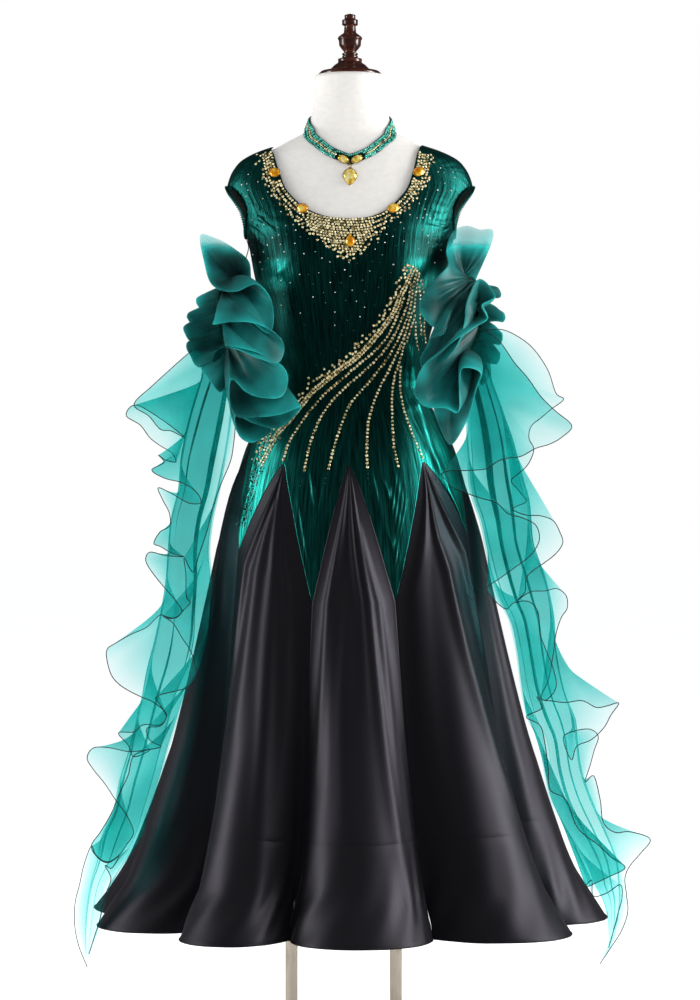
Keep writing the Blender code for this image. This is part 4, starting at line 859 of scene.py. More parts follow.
# Small foiled stones: their darkest and lightest tone, metallic share, roughness.
STONE_LOOKS = {
    "Gold stones": ((0.19, 0.13, 0.03), (0.94, 0.82, 0.47), 0.12, 0.10),
    "Green stones": ((0.003, 0.020, 0.017), (0.02, 0.13, 0.11), 0.6, 0.12),
    "Teal stones": ((0.015, 0.18, 0.14), (0.16, 0.85, 0.68), 0.35, 0.10),
    "Pale stones": ((0.45, 0.50, 0.42), (1.0, 1.0, 0.90), 0.10, 0.08),
}
# Large glass stones, foiled at the back, from their depth to their bright places.
GLASS_LOOKS = {
    "Amber glass": ((0.62, 0.19, 0.004), (0.93, 0.44, 0.012), (1.0, 0.78, 0.16)),
    "Citrine glass": ((0.50, 0.26, 0.01), (0.92, 0.66, 0.09), (1.0, 0.93, 0.50)),
}


@cache
def small_stone(name):
    """Every stone a little different, with bright facets."""
    made, tree, shader, _ = blank(name)
    dark, light, metallic, rough = STONE_LOOKS[name]
    own = noise(tree, spread(tree), 260.0, 0.0)
    tone = ramp(tree, own, [(0.36, dark), (0.56, light)])
    finish(shader, Base_Color=tone, Roughness=ranged(tree, own, rough, rough + 0.15), Metallic=metallic)
    finish(shader, Specular_IOR_Level=0.7, Coat_Weight=0.6, Coat_Roughness=0.05)
    return made


@cache
def glass(name):
    made, tree, shader, _ = blank(name)
    depth = noise(tree, spread(tree), 130.0, 1.0)
    tone = ramp(tree, depth, list(zip((0.35, 0.52, 0.68), GLASS_LOOKS[name])))
    finish(shader, Base_Color=tone, Roughness=ranged(tree, depth, 0.04, 0.14), Metallic=0.35)
    finish(shader, Coat_Weight=1.0, Coat_Roughness=0.03)
    return made


@cache
def gilt():
    made, tree, shader, _ = blank("Gilt")
    wear = noise(tree, spread(tree), 400.0)
    tone = ramp(tree, wear, [(0.3, (0.45, 0.26, 0.06)), (0.6, (0.95, 0.72, 0.32))])
    finish(shader, Base_Color=tone, Roughness=ranged(tree, wear, 0.18, 0.40), Metallic=1.0)
    return made


@cache
def linen():
    """Close linen stretched over the form: fine weave, a few slubs, faint shading."""
    made, tree, shader, _ = blank("Form linen")
    colour = options().linen_colour
    threads = []
    for direction in ("X", "Z"):
        inputs = {"Vector": spread(tree), "Scale": 420.0, "Distortion": 1.5}
        threads.append(add(tree, "ShaderNodeTexWave", inputs, bands_direction=direction).outputs["Fac"])
    weave = add(tree, "ShaderNodeMath", dict(enumerate(threads)), operation="MULTIPLY").outputs[0]
    slub = noise(tree, spread(tree, (90.0, 90.0, 150.0)), 1.0, 3.0)
    tone = ramp(tree, slub, [(0.30, scaled(colour, 0.94)), (0.65, colour)])
    lines = bump(tree, slub, 0.0002, 0.15, bump(tree, weave, 0.0002, 0.35))
    finish(shader, Base_Color=tone, Normal=lines, Roughness=0.9, Sheen_Weight=0.2)
    return made


@cache
def mahogany():
    """Turned mahogany under gloss lacquer: dark red-brown with an orange figure."""
    made, tree, shader, _ = blank("Mahogany")
    figure = noise(tree, spread(tree, (26.0, 26.0, 150.0)), 1.0, 4.0, 0.6)
    stops = [(0.30, (0.010, 0.003, 0.002)), (0.55, (0.060, 0.012, 0.006)), (0.80, (0.22, 0.050, 0.014))]
    finish(shader, Base_Color=ramp(tree, figure, stops), Roughness=ranged(tree, figure, 0.22, 0.38))
    finish(shader, Coat_Weight=0.8, Coat_Roughness=0.06)
    return made


@cache
def post_paint():
    """Satin beige paint on the posts and base plate, a little scuffed."""
    made, tree, shader, _ = blank("Post paint")
    scuff = noise(tree, spread(tree, (60.0, 60.0, 14.0)), 1.0, 4.0, 0.6)
    tone = ramp(tree, scuff, [(0.28, (0.50, 0.42, 0.32)), (0.50, (0.72, 0.64, 0.52))])
    finish(shader, Base_Color=tone, Roughness=ranged(tree, scuff, 0.50, 0.32))
    finish(shader, Normal=bump(tree, scuff, 0.0004, 0.15))
    return made


# ---------------------------------------------------------------- bodice, skirt and hem bands
def column_marks(marks, step):
    """Angles along the bottom of a bodice half, with a column at every mark and none wider than step."""
    degs = [marks[0]]
    for start, end in zip(marks[:-1], marks[1:]):
        count = max(4, math.ceil((end - start) / step))
        degs += list(np.linspace(start, end, count + 1)[1:])
    if len(degs) % 2 == 0:
        degs.insert(1, (degs[0] + degs[1]) / 2)
    return np.array(degs)


def crease_height(x, z):
    """How far the cloth stands out at front-view places, from the listed creases."""
    total = np.zeros_like(x)
    for (x1, z1), (x2, z2), (width, height) in zip(CREASE_STARTS, CREASE_ENDS, CREASES[:, 4:]):
        dx, dz = x2 - x1, z2 - z1
        t = ((x - x1) * dx + (z - z1) * dz) / (dx * dx + dz * dz)
        inside = np.clip(t, 0, 1)
        off = np.hypot(x - x1 - inside * dx, z - z1 - inside * dz)
        fade = np.sin(np.pi * np.clip(0.08 + 0.84 * inside, 0, 1)) ** 0.6
        total += height * fade * np.exp(-((off / width) ** 2))
    return total


def bodice_relief(points, deg, front):
    """Creases, soft pulls across the waist and gathers round the armholes."""
    x, _, z = unstacked(points)
    turn = np.radians(deg)
    lift = crease_height(x if front else -x, z)
    waist = np.exp(-(((z - 1.14) / 0.05) ** 2)) * np.abs(np.sin(turn)) ** 3
    lift = lift + 0.0011 * waist * np.sin(2 * np.pi * z / 0.023 + 3 * np.sin(turn))
    lift = lift + 0.00011 * (np.sin(turn * 61 + 0.4) + np.sin(turn * 97 + 9 * z + 1.3))
    centre = np.array(ARM_CENTRE) * np.where(x[..., None] > 0, 1.0, -1.0) ** np.array((1, 0, 0))
    spread = points - centre
    off = np.hypot(spread[..., 1] * 0.55, spread[..., 2])
    angle = np.arctan2(spread[..., 2], spread[..., 1])
    near = np.exp(-((np.maximum(off - 0.036, 0) / 0.018) ** 1.3))
    return lift + 0.0009 * near * np.sin(34 * angle + 2 * np.sin(3 * angle))


def bodice_half(front):
    """Face of one half of the bodice: body, points down to the skirt, and both shoulder parts."""
    gores = range(5) if front else range(5, 10)
    straps = FRONT_STRAP if front else BACK_STRAP
    top = straps["right"][0]
    marks = [valley_of(gores[0], False)[0]]
    for gore in gores:
        marks += [GORES[gore][0], VALLEYS[gore][0]]
    lows = column_marks(marks, 1.15)
    count = len(lows) - 1
    centre = 0.0 if front else 180.0

    def faced(deg, height):
        points = body(deg, height)
        lift = CLOTH + bodice_relief(points, deg, front)
        return points + outward(body, deg, height) * lift[..., None]

    def trunk(u, v):
        low_deg = np.interp(u * count, np.arange(count + 1), lows)
        low = seam_height(low_deg)
        high_deg = centre - 90 + 180 * u
        away = np.abs(high_deg - centre) / 90
        high = top[1] + (top[3] - top[1]) * away
        deg = low_deg + (high_deg - low_deg) * v
        return faced(deg, low + (high - low) * v)

    def shoulder(side, s):
        def place(u, v):
            neck, neck_height, arm, arm_height = unstacked(through(straps[side], v))
            deg = centre + s * (1 if front else -1) * np.abs(neck - centre + (arm - neck) * u)
            return faced(deg, neck_height + (arm_height - neck_height) * u)

        return place

    def ribs_run_on(bm, side, s):
        uv = bm.loops.layers.uv["UVMap"]
        loops = [loop for face in bm.faces for loop in face.loops]
        u, v = np.array([loop[uv].uv for loop in loops]).T
        neck, _, arm, _ = unstacked(through(straps[side], v))
        turn = s * (1 if front else -1) * np.abs(neck - centre + (arm - neck) * u)
        for loop, place in zip(loops, np.stack([0.5 + turn / 180, 1 + 0.2 * v], -1)):
            loop[uv].uv = place
        return bm

    parts = [grid_of(count, 128, trunk)]
    parts += [ribs_run_on(grid_of(count // 2, 34, shoulder(side, s)), side, s) for side, s in SIDES.items()]
    return outward_facing(welded(merged(parts), 2e-5))


def outward_facing(bm):
    """The same surface with its faces turned away from the upright axis."""
    total = 0.0
    for face in bm.faces:
        centre = face.calc_center_median()
        total += face.calc_area() * (centre.x * face.normal.x + centre.y * face.normal.y)
    if total < 0:
        bmesh.ops.reverse_faces(bm, faces=bm.faces)
    return bm


def skirt_relief(gore, down, across):
    """Long soft ridges down a gore, none of them on its seams."""
    lift = np.zeros_like(down)
    for _, top, bottom, start, end, width, height in SKIRT_FOLDS[SKIRT_FOLDS[:, 0] == gore]:
        share = np.clip((down - start) / (end - start), 0, 1)
        middle = top + (bottom - top) * share + 0.03 * np.sin(5 * share + 7 * top)
        fade = np.sin(np.pi * share) ** 0.7 * ((down > start) & (down < end))
        lift = lift + height * fade * np.exp(-(((across - middle) / width) ** 2))
    return lift * np.sin(np.pi * np.clip(across, 0, 1)) ** 0.5


def pucker(gore, down, across):
    """Short diagonal puckers that spread from the corners of the hem band's seam."""
    below = np.clip(down - 2, 0, 1)
    fan = np.sin(2 * np.pi * (across * 7 + 1.3 * below + 0.37 * gore) + 2.6 * np.sin(5 * across + gore))
    corners = 0.35 + 0.65 * np.abs(np.cos(np.pi * across)) ** 2
    return 0.0026 * fan * corners * np.sin(np.pi * np.clip(0.9 * below, 0, 1)) * (down >= 2)


def gore_face(gore, down, across):
    points = gore_surface(gore, down, across)
    bend = 0.9 * np.exp(-(((down - 2) / 0.45) ** 2))[..., None]
    around = gore_surface(gore, down - 0.30, across) + gore_surface(gore, np.minimum(down + 0.30, 3), across)
    points = points * (1 - bend) + around / 2 * bend
    deg_left, left = seam(gore, False, down)
    deg_right, right = seam(gore, True, down)
    deg = deg_left + (deg_right - deg_left) * across
    height = left + (right - left) * across
    at_seam = (across < 1e-6) | (across > 1 - 1e-6) | (down < 1e-6)
    normals = np.where(at_seam[..., None], outward(body, deg, height), gore_normals(gore, down, across))
    lift = CLOTH + skirt_relief(gore, down, across) + pucker(gore, down, across)
    groove = 0.0001 * np.exp(-(((down - 2) / 0.02) ** 2))
    return points + normals * (lift - groove)[..., None]


def gore_piece(gore):
    bm = grid_of(44, 84, lambda u, v: gore_face(gore, 2 * v**1.15, u))
    return outward_facing(welded(bm, 1e-6))


def hem_curve(gores, steps):
    """Places along the hem of some gores."""
    points = []
    for gore in gores:
        across = np.linspace(0, 1, steps + 1)[: steps + (gore == gores[-1])]
        points.append(gore_face(gore, 3 + 0 * across, across))
    return np.concatenate(points)


def hem_band_piece(gores):
    parts = [grid_of(44, 18, lambda u, v, gore=gore: gore_face(gore, 2 + v, u)) for gore in gores]
    return outward_facing(welded(merged(parts), 2e-5))


# The cloths: their slot, their face, and their wrong side where it differs.
JERSEY = ("foil_jersey", foil, knit_back)
ELASTIC = ("foil_jersey", knit_back)
SATIN = ("satin", satin, satin_back)
SHEER = ("organza", organza)
DOUBLED = ("organza", organza_doubled)


def cloth_piece(name, node, bm, cloth, thickness, offset=-1.0):
    """A sheet of cloth in place of a node."""
    slot, *faces = cloth
    made = piece(name, bm, [face() for face in faces], slot=slot, replaces=[node])
    return thicken(made, thickness, inner=len(faces) - 1, offset=offset)


def make_bodice():
    for half in ("front", "back"):
        bm = bodice_half(half == "front")
        made = cloth_piece(f"bodice_{half}_cloth", f"bodice_{half}", bm, JERSEY, options().jersey_thickness)


def make_skirt():
    for gore, area in enumerate(GORE_AREAS):
        node = f"gore_{gore + 1}"
        made = cloth_piece(node + "_cloth", node, gore_piece(gore), SATIN, options().satin_thickness)


def make_hem_bands():
    for half, gores in (("front", range(5)), ("back", range(5, 10))):
        node = f"hem_band_{half}"
        made = cloth_piece(node + "_cloth", node, hem_band_piece(gores), SATIN, options().satin_thickness)
        line = tube(hem_curve(gores, 26), options().piping_radius)
        piping = piece(f"hem_piping_{half}", line, [satin()], slot="satin")
        above = [f"gore_{gore + 1}_cloth" for gore in gores]


def arm_edge(side, s, u):
    """Edge of an armhole at shares 0 to 1 round it, and the direction out of the cloth."""
    front = through(FRONT_STRAP[side], np.clip(2 * u, 0, 1))[..., 2:]
    back = through(BACK_STRAP[side], np.clip(2 - 2 * u, 0, 1))[..., 2:]
    deg, height = unstacked(np.where((u < 0.5)[..., None], front, back))
    return body(s * deg, height), outward(body, s * deg, height)


# Binding round an armhole, from the outside of its roll to its inner edge: inwards, outwards.
BINDING = chart("""
    -3 1.8; -2.9 3; -2 4.1; -0.4 4.6; 1.2 4.2; 2.1 3.1; 2.4 1.8; 2.8 1; 4.2 0.9; 5.8 0.8
""", MM)


def binding_piece(side, s):
    gathers = 74

    def place(u, v):
        edge, normal = arm_edge(side, s, u)
        inwards = unit(np.array(ARM_CENTRE) * (s, 1, 1) - edge)
        inward, rise = unstacked(through(BINDING, v))
        roll = np.clip((0.70 - v) / 0.2, 0, 1)
        wave = np.sin(2 * np.pi * gathers * u + 1.5 * np.sin(2 * np.pi * 5 * u))
        rise = rise * (1 + 0.34 * roll * wave)
        inward = inward * (1 + 0.20 * roll * wave)
        return edge + inwards * inward[..., None] + normal * rise[..., None]

    return outward_facing(welded(grid_of(gathers * 6, 16, place)))


def make_armholes():
    for side, s in SIDES.items():
        name, node = f"armhole_binding_{side}", f"armhole_band_{side}"
        made = cloth_piece(name, node, binding_piece(side, s), JERSEY, BINDING_SHELL)


# ---------------------------------------------------------------- stones
def cut_stone(sides, steps, pointed=0.0):
    """A stone of unit girdle and depth with its back on z = 0; steps are (width, height) above the girdle."""
    bm = bmesh.new()
    bmesh.ops.create_circle(bm, cap_ends=True, segments=sides, radius=1.0)
    half_side = Matrix.Rotation(math.pi / sides, 3, "Z")
    bmesh.ops.rotate(bm, verts=bm.verts, cent=(0, 0, 0), matrix=half_side)
    width, level = 1.0, 0.0
    for number, (next_width, next_level) in enumerate(steps):
        top = max(bm.faces, key=lambda face: face.calc_center_median().z + 0.001 * abs(face.normal.z))
        made = bmesh.ops.extrude_face_region(bm, geom=[top])["geom"]
        if number:
            bmesh.ops.delete(bm, geom=[top], context="FACES_ONLY")
        verts = [item for item in made if isinstance(item, bmesh.types.BMVert)]
        bmesh.ops.scale(bm, vec=(next_width / width, next_width / width, 1), verts=verts)
        bmesh.ops.translate(bm, vec=(0, 0, next_level - level), verts=verts)
        if next_width < width * 0.999:
            bmesh.ops.rotate(bm, verts=verts, cent=(0, 0, 0), matrix=half_side)
        width, level = next_width, next_level
    for vert in bm.verts:
        if vert.co.y > 0:
            vert.co.x *= 1 - pointed * vert.co.y
    bmesh.ops.triangulate(bm, faces=[face for face in bm.faces if len(face.verts) == 4])
    bmesh.ops.recalc_face_normals(bm, faces=bm.faces)
    return bm


def seat_matrix(point, normal, turn=0.0, size=(1, 1, 1)):
    """Placement of a stone with its back on a point and its face along the normal."""
    normal = Vector(normal).normalized()
    reference = Vector((0, 0, 1)) if abs(normal.z) < 0.95 else Vector((0, 1, 0))
    right = reference.cross(normal).normalized()
    up = normal.cross(right)
    turned = Matrix((right, up, normal)).transposed().to_4x4()
    place = Matrix.Translation(point) @ turned @ Matrix.Rotation(math.radians(turn), 4, "Z")
    return place @ Matrix.Diagonal((*size, 1))


def joined_stones(name, seats, look):
    """Many small stones as one mesh, from the placement matrix of each."""
    cutting = cut_stone(6, [(1.0, 0.25), (0.52, 0.75)])
    template = bpy.data.meshes.new("cut")
    cutting.to_mesh(template)
    cutting.free()
    whole = bmesh.new()
    for place in seats:
        copy = template.copy()
        copy.transform(place)
        whole.from_mesh(copy)
        bpy.data.meshes.remove(copy)
    bpy.data.meshes.remove(template)
    return piece(name, whole, [small_stone(look)], smooth=False, slot="stone")


def surface_of(*names):
    """A tree for finding places on the faces of finished pieces."""
    verts, faces = [], []
    for name in names:
        mesh = bpy.data.objects[name].data
        start = len(verts)
        verts += [vert.co.copy() for vert in mesh.vertices]
        faces += [[start + i for i in face.vertices] for face in mesh.polygons]
    return BVHTree.FromPolygons(verts, faces)


def front_of_dress():
    return surface_of("bodice_front_cloth", *(f"gore_{number}_cloth" for number in range(1, 6)))


def on_front(tree, x, z, sink=0.0002):
    """The place on the front of the dress at x and z, and its normal, or None beside the dress."""
    point, normal, _, _ = tree.ray_cast(Vector((x, -1.0, z)), Vector((0, 1, 0)), 1.0)
    if point is None:
        return None
    return point - normal * sink, normal


def smooth_line(line, count):
    return through(line, np.linspace(0, 1, count))


def beside(ahead):
    """Unit vectors square to front-view directions."""
    return np.stack([-ahead[:, 1], ahead[:, 0]], -1)


def spaced(line, pitch):
    """Places along a polyline at even steps, with the direction there."""
    line = np.array(line, float)
    lengths = np.concatenate([[0], np.cumsum(np.linalg.norm(np.diff(line, axis=0), axis=1))])
    at = np.arange(0, lengths[-1] + 1e-9, pitch)
    places = np.stack([np.interp(at, lengths, line[:, i]) for i in range(line.shape[1])], -1)
    ahead = np.gradient(places, axis=0) if len(places) > 1 else np.ones_like(places)
    return places, unit(ahead)


def scatter_seats(tree, places, half, depth, rng, jitter=0.0):
    """Stone placements at front-view places, each a little turned and tilted."""
    seats = []
    for x, z in places:
        x, z = x + rng.normal(0, jitter), z + rng.normal(0, jitter)
        found = on_front(tree, x, z)
        if found is None:
            continue
        point, normal = found
        tilt = normal + Vector(rng.normal(0, 0.07, 3))
        size = half * rng.uniform(0.86, 1.14)
        seats.append(seat_matrix(point, tilt, rng.uniform(0, 60), (size, size, depth * size / half)))
    return seats


def between_lines(first, second, pitch):
    """Rows of places that fill the band between two polylines with the same number of points."""
    fine = [spaced(line, 0.001)[0] for line in (first, second)]
    longest = max(map(len, fine))
    share = np.linspace(0, 1, longest)
    own = [np.linspace(0, 1, len(line)) for line in fine]
    a, b = (np.stack([np.interp(share, at, line[:, i]) for i in (0, 1)], -1) for at, line in zip(own, fine))
    width = np.linalg.norm(b - a, axis=1)
    rows = int(width.max() / (0.87 * pitch)) + 1
    found = []
    for row in range(rows):
        part = (row + 0.5) * 0.87 * pitch / np.maximum(width, 1e-6)
        line = a + (b - a) * part[:, None]
        steps = np.linalg.norm(np.diff(line, axis=0), axis=1)
        travelled = np.concatenate([[0], np.cumsum(steps)])
        for at in np.arange((row % 2) * pitch / 2, travelled[-1], pitch):
            i = min(int(np.searchsorted(travelled, at)), longest - 1)
            if part[i] < 1:
                found.append(line[i])
    return np.array(found)


def inside_polygon(x, z, outline):
    """Whether front-view places lie inside a closed outline."""
    inside = np.zeros(np.shape(x), bool)
    outline = np.array(outline)
    for (x1, z1), (x2, z2) in zip(outline, np.roll(outline, -1, axis=0)):
        crosses = (z1 > z) != (z2 > z)
        at = x1 + (z - z1) * (x2 - x1) / ((z2 - z1) if z2 != z1 else 1e-9)
        inside ^= crosses & (x < at)
    return inside


def make_neck_stones():
    """The thick band of small gold stones round the neckline."""
    rng = np.random.default_rng(3)
    tree = surface_of("bodice_front_cloth")
    pitch = options().stone_pitch
    places = between_lines(smooth_line(NECK_EDGE, 90), smooth_line(BAND_EDGE, 90), pitch)
    outer, ahead = spaced(smooth_line(BAND_EDGE, 90), 0.8 * pitch)
    edge = zip(outer, beside(ahead))
    ragged = [at - way * abs(rng.normal(0.001, 0.0036)) for at, way in edge for _ in range(2)]
    places = thinned(list(places) + ragged, 0.82 * pitch)
    keep = [p for p in places if all(math.hypot(p[0] - x, p[1] - z) > 0.0094 for x, z in LARGE_PLACES)]
    seats = scatter_seats(tree, keep, 0.44 * pitch, 0.0021, rng, 0.0003)
    joined_stones("neckline_stones", seats, "Gold stones")
    back = surface_of("bodice_back_cloth")
    seats = []
    for offset in (0.004, 0.0095):
        for s in (-1, 1):
            deg, height, arm_deg, _ = BACK_STRAP["right" if s < 0 else "left"].T
            line = body(s * (deg + (arm_deg - deg) * offset / 0.09), height - offset * 0.4)
            for place in spaced(line, pitch)[0]:
                point, normal, _, _ = back.find_nearest(Vector(place))
                tilt = normal + Vector(rng.normal(0, 0.07, 3))
                size = (0.47 * pitch, 0.47 * pitch, 0.0017)
                seats.append(seat_matrix(point, tilt, rng.uniform(0, 60), size))
    joined_stones("back_neckline_stones", seats, "Gold stones")


def thinned(places, least):
    """The places in order, without those nearer than `least` to one already kept."""
    kept = np.empty((0, 2))
    for place in places:
        if not len(kept) or np.hypot(*(kept - place).T).min() > least:
            kept = np.vstack([kept, place])
    return kept


def make_fan_stones():
    """The fan of stones across the waist: a double edge line, curved rays, and loose stones beyond."""
    rng = np.random.default_rng(5)
    tree = front_of_dress()
    line, ahead = spaced(smooth_line(FAN_EDGE, 120), 0.0050)
    side = beside(ahead)
    places = list(line + side * -0.0024) + list(line + side * 0.0024)
    faint = []
    for number, at in enumerate(line):
        share = number / len(line)
        for _ in range(2 + 2 * (share > 0.75)):
            off = -0.0068 - abs(rng.normal(0, 0.0048))
            places.append(at + side[number] * off + rng.normal(0, 0.0012, 2))
    for ray in FAN_RAYS:
        fine = smooth_line(ray, 120)
        places += list(spaced(fine, 0.0064)[0])
        beyond = fine[-1] + unit(fine[-1] - fine[-14]) * np.cumsum([0.007, 0.008, 0.009, 0.010])[:, None]
        faint += [at for at in beyond if at[1] > 0.965]
    seats = scatter_seats(tree, thinned(places, 0.0044), 0.0025, 0.0021, rng, 0.0002)
    joined_stones("fan_stones", seats, "Gold stones")
    seats = scatter_seats(tree, faint, 0.0013, 0.0013, rng, 0.0003)
    joined_stones("fan_end_stones", seats, "Green stones")
    hip, ahead = spaced(smooth_line(HIP_LINE, 40), 0.0040)
    side = beside(ahead)
    places = []
    for number, at in enumerate(hip):
        reach = 0.012 * (1 - 0.45 * number / len(hip))
        for off in np.arange(-reach, reach + 0.001, 0.0040):
            places.append(at + side[number] * (off + rng.normal(0, 0.0008)))
    pale = [place for number, place in enumerate(places) if rng.uniform() < 0.30 - 0.7 * number / len(places)]
    dark = [place for place in places if not any(place is one for one in pale)]
    seats = scatter_seats(tree, thinned(dark, 0.0033), 0.0019, 0.0017, rng, 0.0004)
    joined_stones("hip_stones", seats, "Green stones")
    seats = scatter_seats(tree, thinned(pale, 0.0040), 0.0020, 0.0018, rng, 0.0004)
    joined_stones("hip_pale_stones", seats, "Gold stones")


def make_loose_stones():
    """Single small stones over the chest and shoulders."""
    rng = np.random.default_rng(11)
    tree = surface_of("bodice_front_cloth")
    low, high = (-0.20, 1.10), (0.20, 1.54)
    chosen = []
    for x, z in rng.uniform(low, high, (3200, 2)):
        if not inside_polygon(np.array(x), np.array(z), LOOSE_FIELD):
            continue
        crowd = 0.0078 + 0.0115 * np.clip((1.43 - z) / 0.2, 0, 1.2)
        if all(math.hypot(x - a, z - b) > crowd for a, b in chosen):
            chosen.append((x, z))
    pale = [place for place in chosen if rng.uniform() < 0.42]
    dark = [place for place in chosen if place not in pale]
    joined_stones("loose_pale_stones", scatter_seats(tree, pale, 0.00112, 0.0011, rng), "Pale stones")
    joined_stones("loose_dark_stones", scatter_seats(tree, dark, 0.00120, 0.0012, rng), "Green stones")


def large_cut(half_width, half_height, depth, pointed):
    """An oval or drop stone with a fine crown."""
    steps = [(1.0, 0.20), (0.86, 0.48), (0.66, 0.74), (0.44, 0.88), (0.20, 0.95)]
    bm = cut_stone(14, steps, pointed)
    bmesh.ops.scale(bm, vec=(half_width, half_height, depth), verts=bm.verts)
    return bm


def setting(half_width, half_height, depth, pointed):
    """A rolled gold rim with claws round an oval or drop stone."""
    count = 40
    turn = np.linspace(0, 2 * np.pi, count, endpoint=False)
    x, y = np.cos(turn) * (half_width + 0.0004), np.sin(turn) * (half_height + 0.0004)
    x = np.where(y > 0, x * (1 - pointed * y / half_height), x)
    rim = tube(np.stack([x, y, 0 * x + 0.00075], -1), 0.00062, 6, closed=True)
    claws = []
    for at in range(2, count, count // 8):
        claw = bmesh.new()
        bmesh.ops.create_icosphere(claw, subdivisions=1, radius=0.00085)
        bmesh.ops.translate(claw, vec=(x[at] * 0.97, y[at] * 0.97, depth * 0.30), verts=claw.verts)
        claws.append(claw)
    return merged([rim] + claws, weld=1e-7)


def set_stone(name, node, sizes, place, look, rides=BODY_OF_DRESS):
    """A large stone in place of a node, in its gilt setting."""
    stone = moved(large_cut(*sizes), place)
    piece(f"{node}_cut", stone, [glass(look)], smooth=False, rides=rides, slot="stone", replaces=[node])
    piece(f"{name}_setting", moved(setting(*sizes), place), [gilt()], rides=rides, slot="gilt")


def set_stones(seats, surface, lift, look):
    """Large stones in their places on a surface, raised from it by `lift`."""
    for name, (deg, height, turn, sizes) in seats.items():
        point, normal = Vector(surface(deg, height)), Vector(outward(surface, deg, height))
        set_stone(name, name, sizes, seat_matrix(point + normal * lift, normal, turn), look)


def neck_band(u, v, lift):
    deg = 360 * u - 180
    low, high = unstacked(along(CHOKER, np.abs(deg)))
    height = low + (high - low) * v
    return form(deg, height) + outward(form, deg, height) * lift


# Rows of small stones round the choker: their look, and their places from its lower to its upper edge.
CHOKER_ROWS = {"teal": ("Teal stones", (0.10, 0.28, 0.68, 0.86)), "gold": ("Gold stones", (0.48,))}
CHOKER_PITCH = 0.0037
CHOKER_BARE = 7.0  # degrees each side of the front that the marquise stones take up


def make_choker():
    bm = welded(grid_of(180, 6, lambda u, v: neck_band(u, v, CHOKER_LIFT + CLOTH)))
    made = cloth_piece("choker_cloth", "choker", outward_facing(bm), JERSEY, SHELL)
    rng = np.random.default_rng(8)
    degs = np.linspace(-180, 180, 1441)
    for kind, (look, levels) in CHOKER_ROWS.items():
        seats = []
        for level in levels:
            line = neck_band((degs + 180) / 360, 0 * degs + level, CHOKER_LIFT + CLOTH)
            travelled = np.concatenate([[0], np.cumsum(np.linalg.norm(np.diff(line, axis=0), axis=1))])
            for i, place in enumerate(spaced(line, CHOKER_PITCH)[0]):
                deg = float(np.interp(i * CHOKER_PITCH, travelled, degs))
                if abs(deg) < CHOKER_BARE and level < 0.7:
                    continue
                normal = Vector(outward(form, deg, place[2])) + Vector(rng.normal(0, 0.06, 3))
                size = 0.0018 * rng.uniform(0.9, 1.1)
                seats.append(seat_matrix(Vector(place), normal, rng.uniform(0, 60), (size, size, 0.0016)))
        joined_stones(f"choker_{kind}_stones", seats, look)
    set_stones(CHOKER_STONES, form, CHOKER_LIFT + CLOTH + CLEAR, "Citrine glass")


def wire_ring(major, wire, place):
    turn = np.linspace(0, 2 * np.pi, 32, endpoint=False)
    points = np.stack([major * np.cos(turn), major * np.sin(turn), 0 * turn], -1)
    return moved(tube(points, wire, 8, closed=True), place)


def make_pendant():
    low = CHOKER[0][1]
    reach = CHOKER_LIFT + CLOTH + CLEAR + LOOP_R + WIRE
    hinge = Vector((0, float(form(0.0, low)[1]) - reach, low + LOOP_RAISED))
    place = Matrix.Translation(hinge) @ Matrix.Rotation(math.pi / 2, 4, "Y")
    ring = wire_ring(LOOP_R, WIRE, place)
    piece("pendant_loop_wire", ring, [gilt()], slot="gilt", replaces=["pendant_loop"])
    hang = Matrix.Translation(hinge) @ Matrix.Rotation(math.radians(-PENDANT_LEAN), 4, "X")
    bail = hang @ Matrix.Translation((0, 0, -BAIL_R)) @ Matrix.Rotation(math.pi / 2, 4, "X")
    ring = wire_ring(BAIL_R, WIRE, bail)
    piece("pendant_bail_wire", ring, [gilt()], rides=BODY_OF_PENDANT, slot="gilt", replaces=["pendant_bail"])
    drop = 2 * BAIL_R + WIRE + CLEAR + PENDANT_TALL / 2
    face = hang @ Matrix.Translation((0, PENDANT_DEEP * PENDANT_BEHIND, -drop))
    face = face @ Matrix.Rotation(math.pi / 2, 4, "X") @ Matrix.Rotation(math.pi, 4, "Z")
    sizes = (PENDANT_HALF, PENDANT_TALL / 2, PENDANT_DEEP, PENDANT_POINTED)
    set_stone("pendant", "pendant_stone", sizes, face, "Citrine glass", rides=BODY_OF_PENDANT)


# ---------------------------------------------------------------- organza floats
SHEER_FROM, SHEER_OVER = 1.352, 0.030  # the ruffles' tips turn sheer from this height, over this rise
SEWN_ON = 0.0012  # how far outside an armband's ring its ruffles and float begin
FLOAT_TOP = 352  # the row of the front view where a float's flounces begin
FLOAT_FORE, FLOAT_LEAN = -0.04, -0.00028  # depth of a float at its top, and how much further ahead per row


def ring_frame(s):
    """Centre of an armband and its three directions: to its back, up, and away from the dress."""
    turn = math.radians(RING_TURN)
    centre = np.array((s * RING_OUT, RING_FORE, RING_UP))
    back = np.array((-s * math.sin(turn), math.cos(turn), 0))
    away = np.array((s * math.cos(turn), math.sin(turn), 0))
    return centre, back, np.array((0.0, 0, 1)), away


def ring_point(s, ring_deg, radius, offset=0.0):
    centre, back, up, away = ring_frame(s)
    angle = np.radians(np.asarray(ring_deg, float))[..., None]
    radial = np.cos(angle) * back + np.sin(angle) * up
    return centre + radial * np.asarray(radius)[..., None] + np.asarray(offset)[..., None] * away


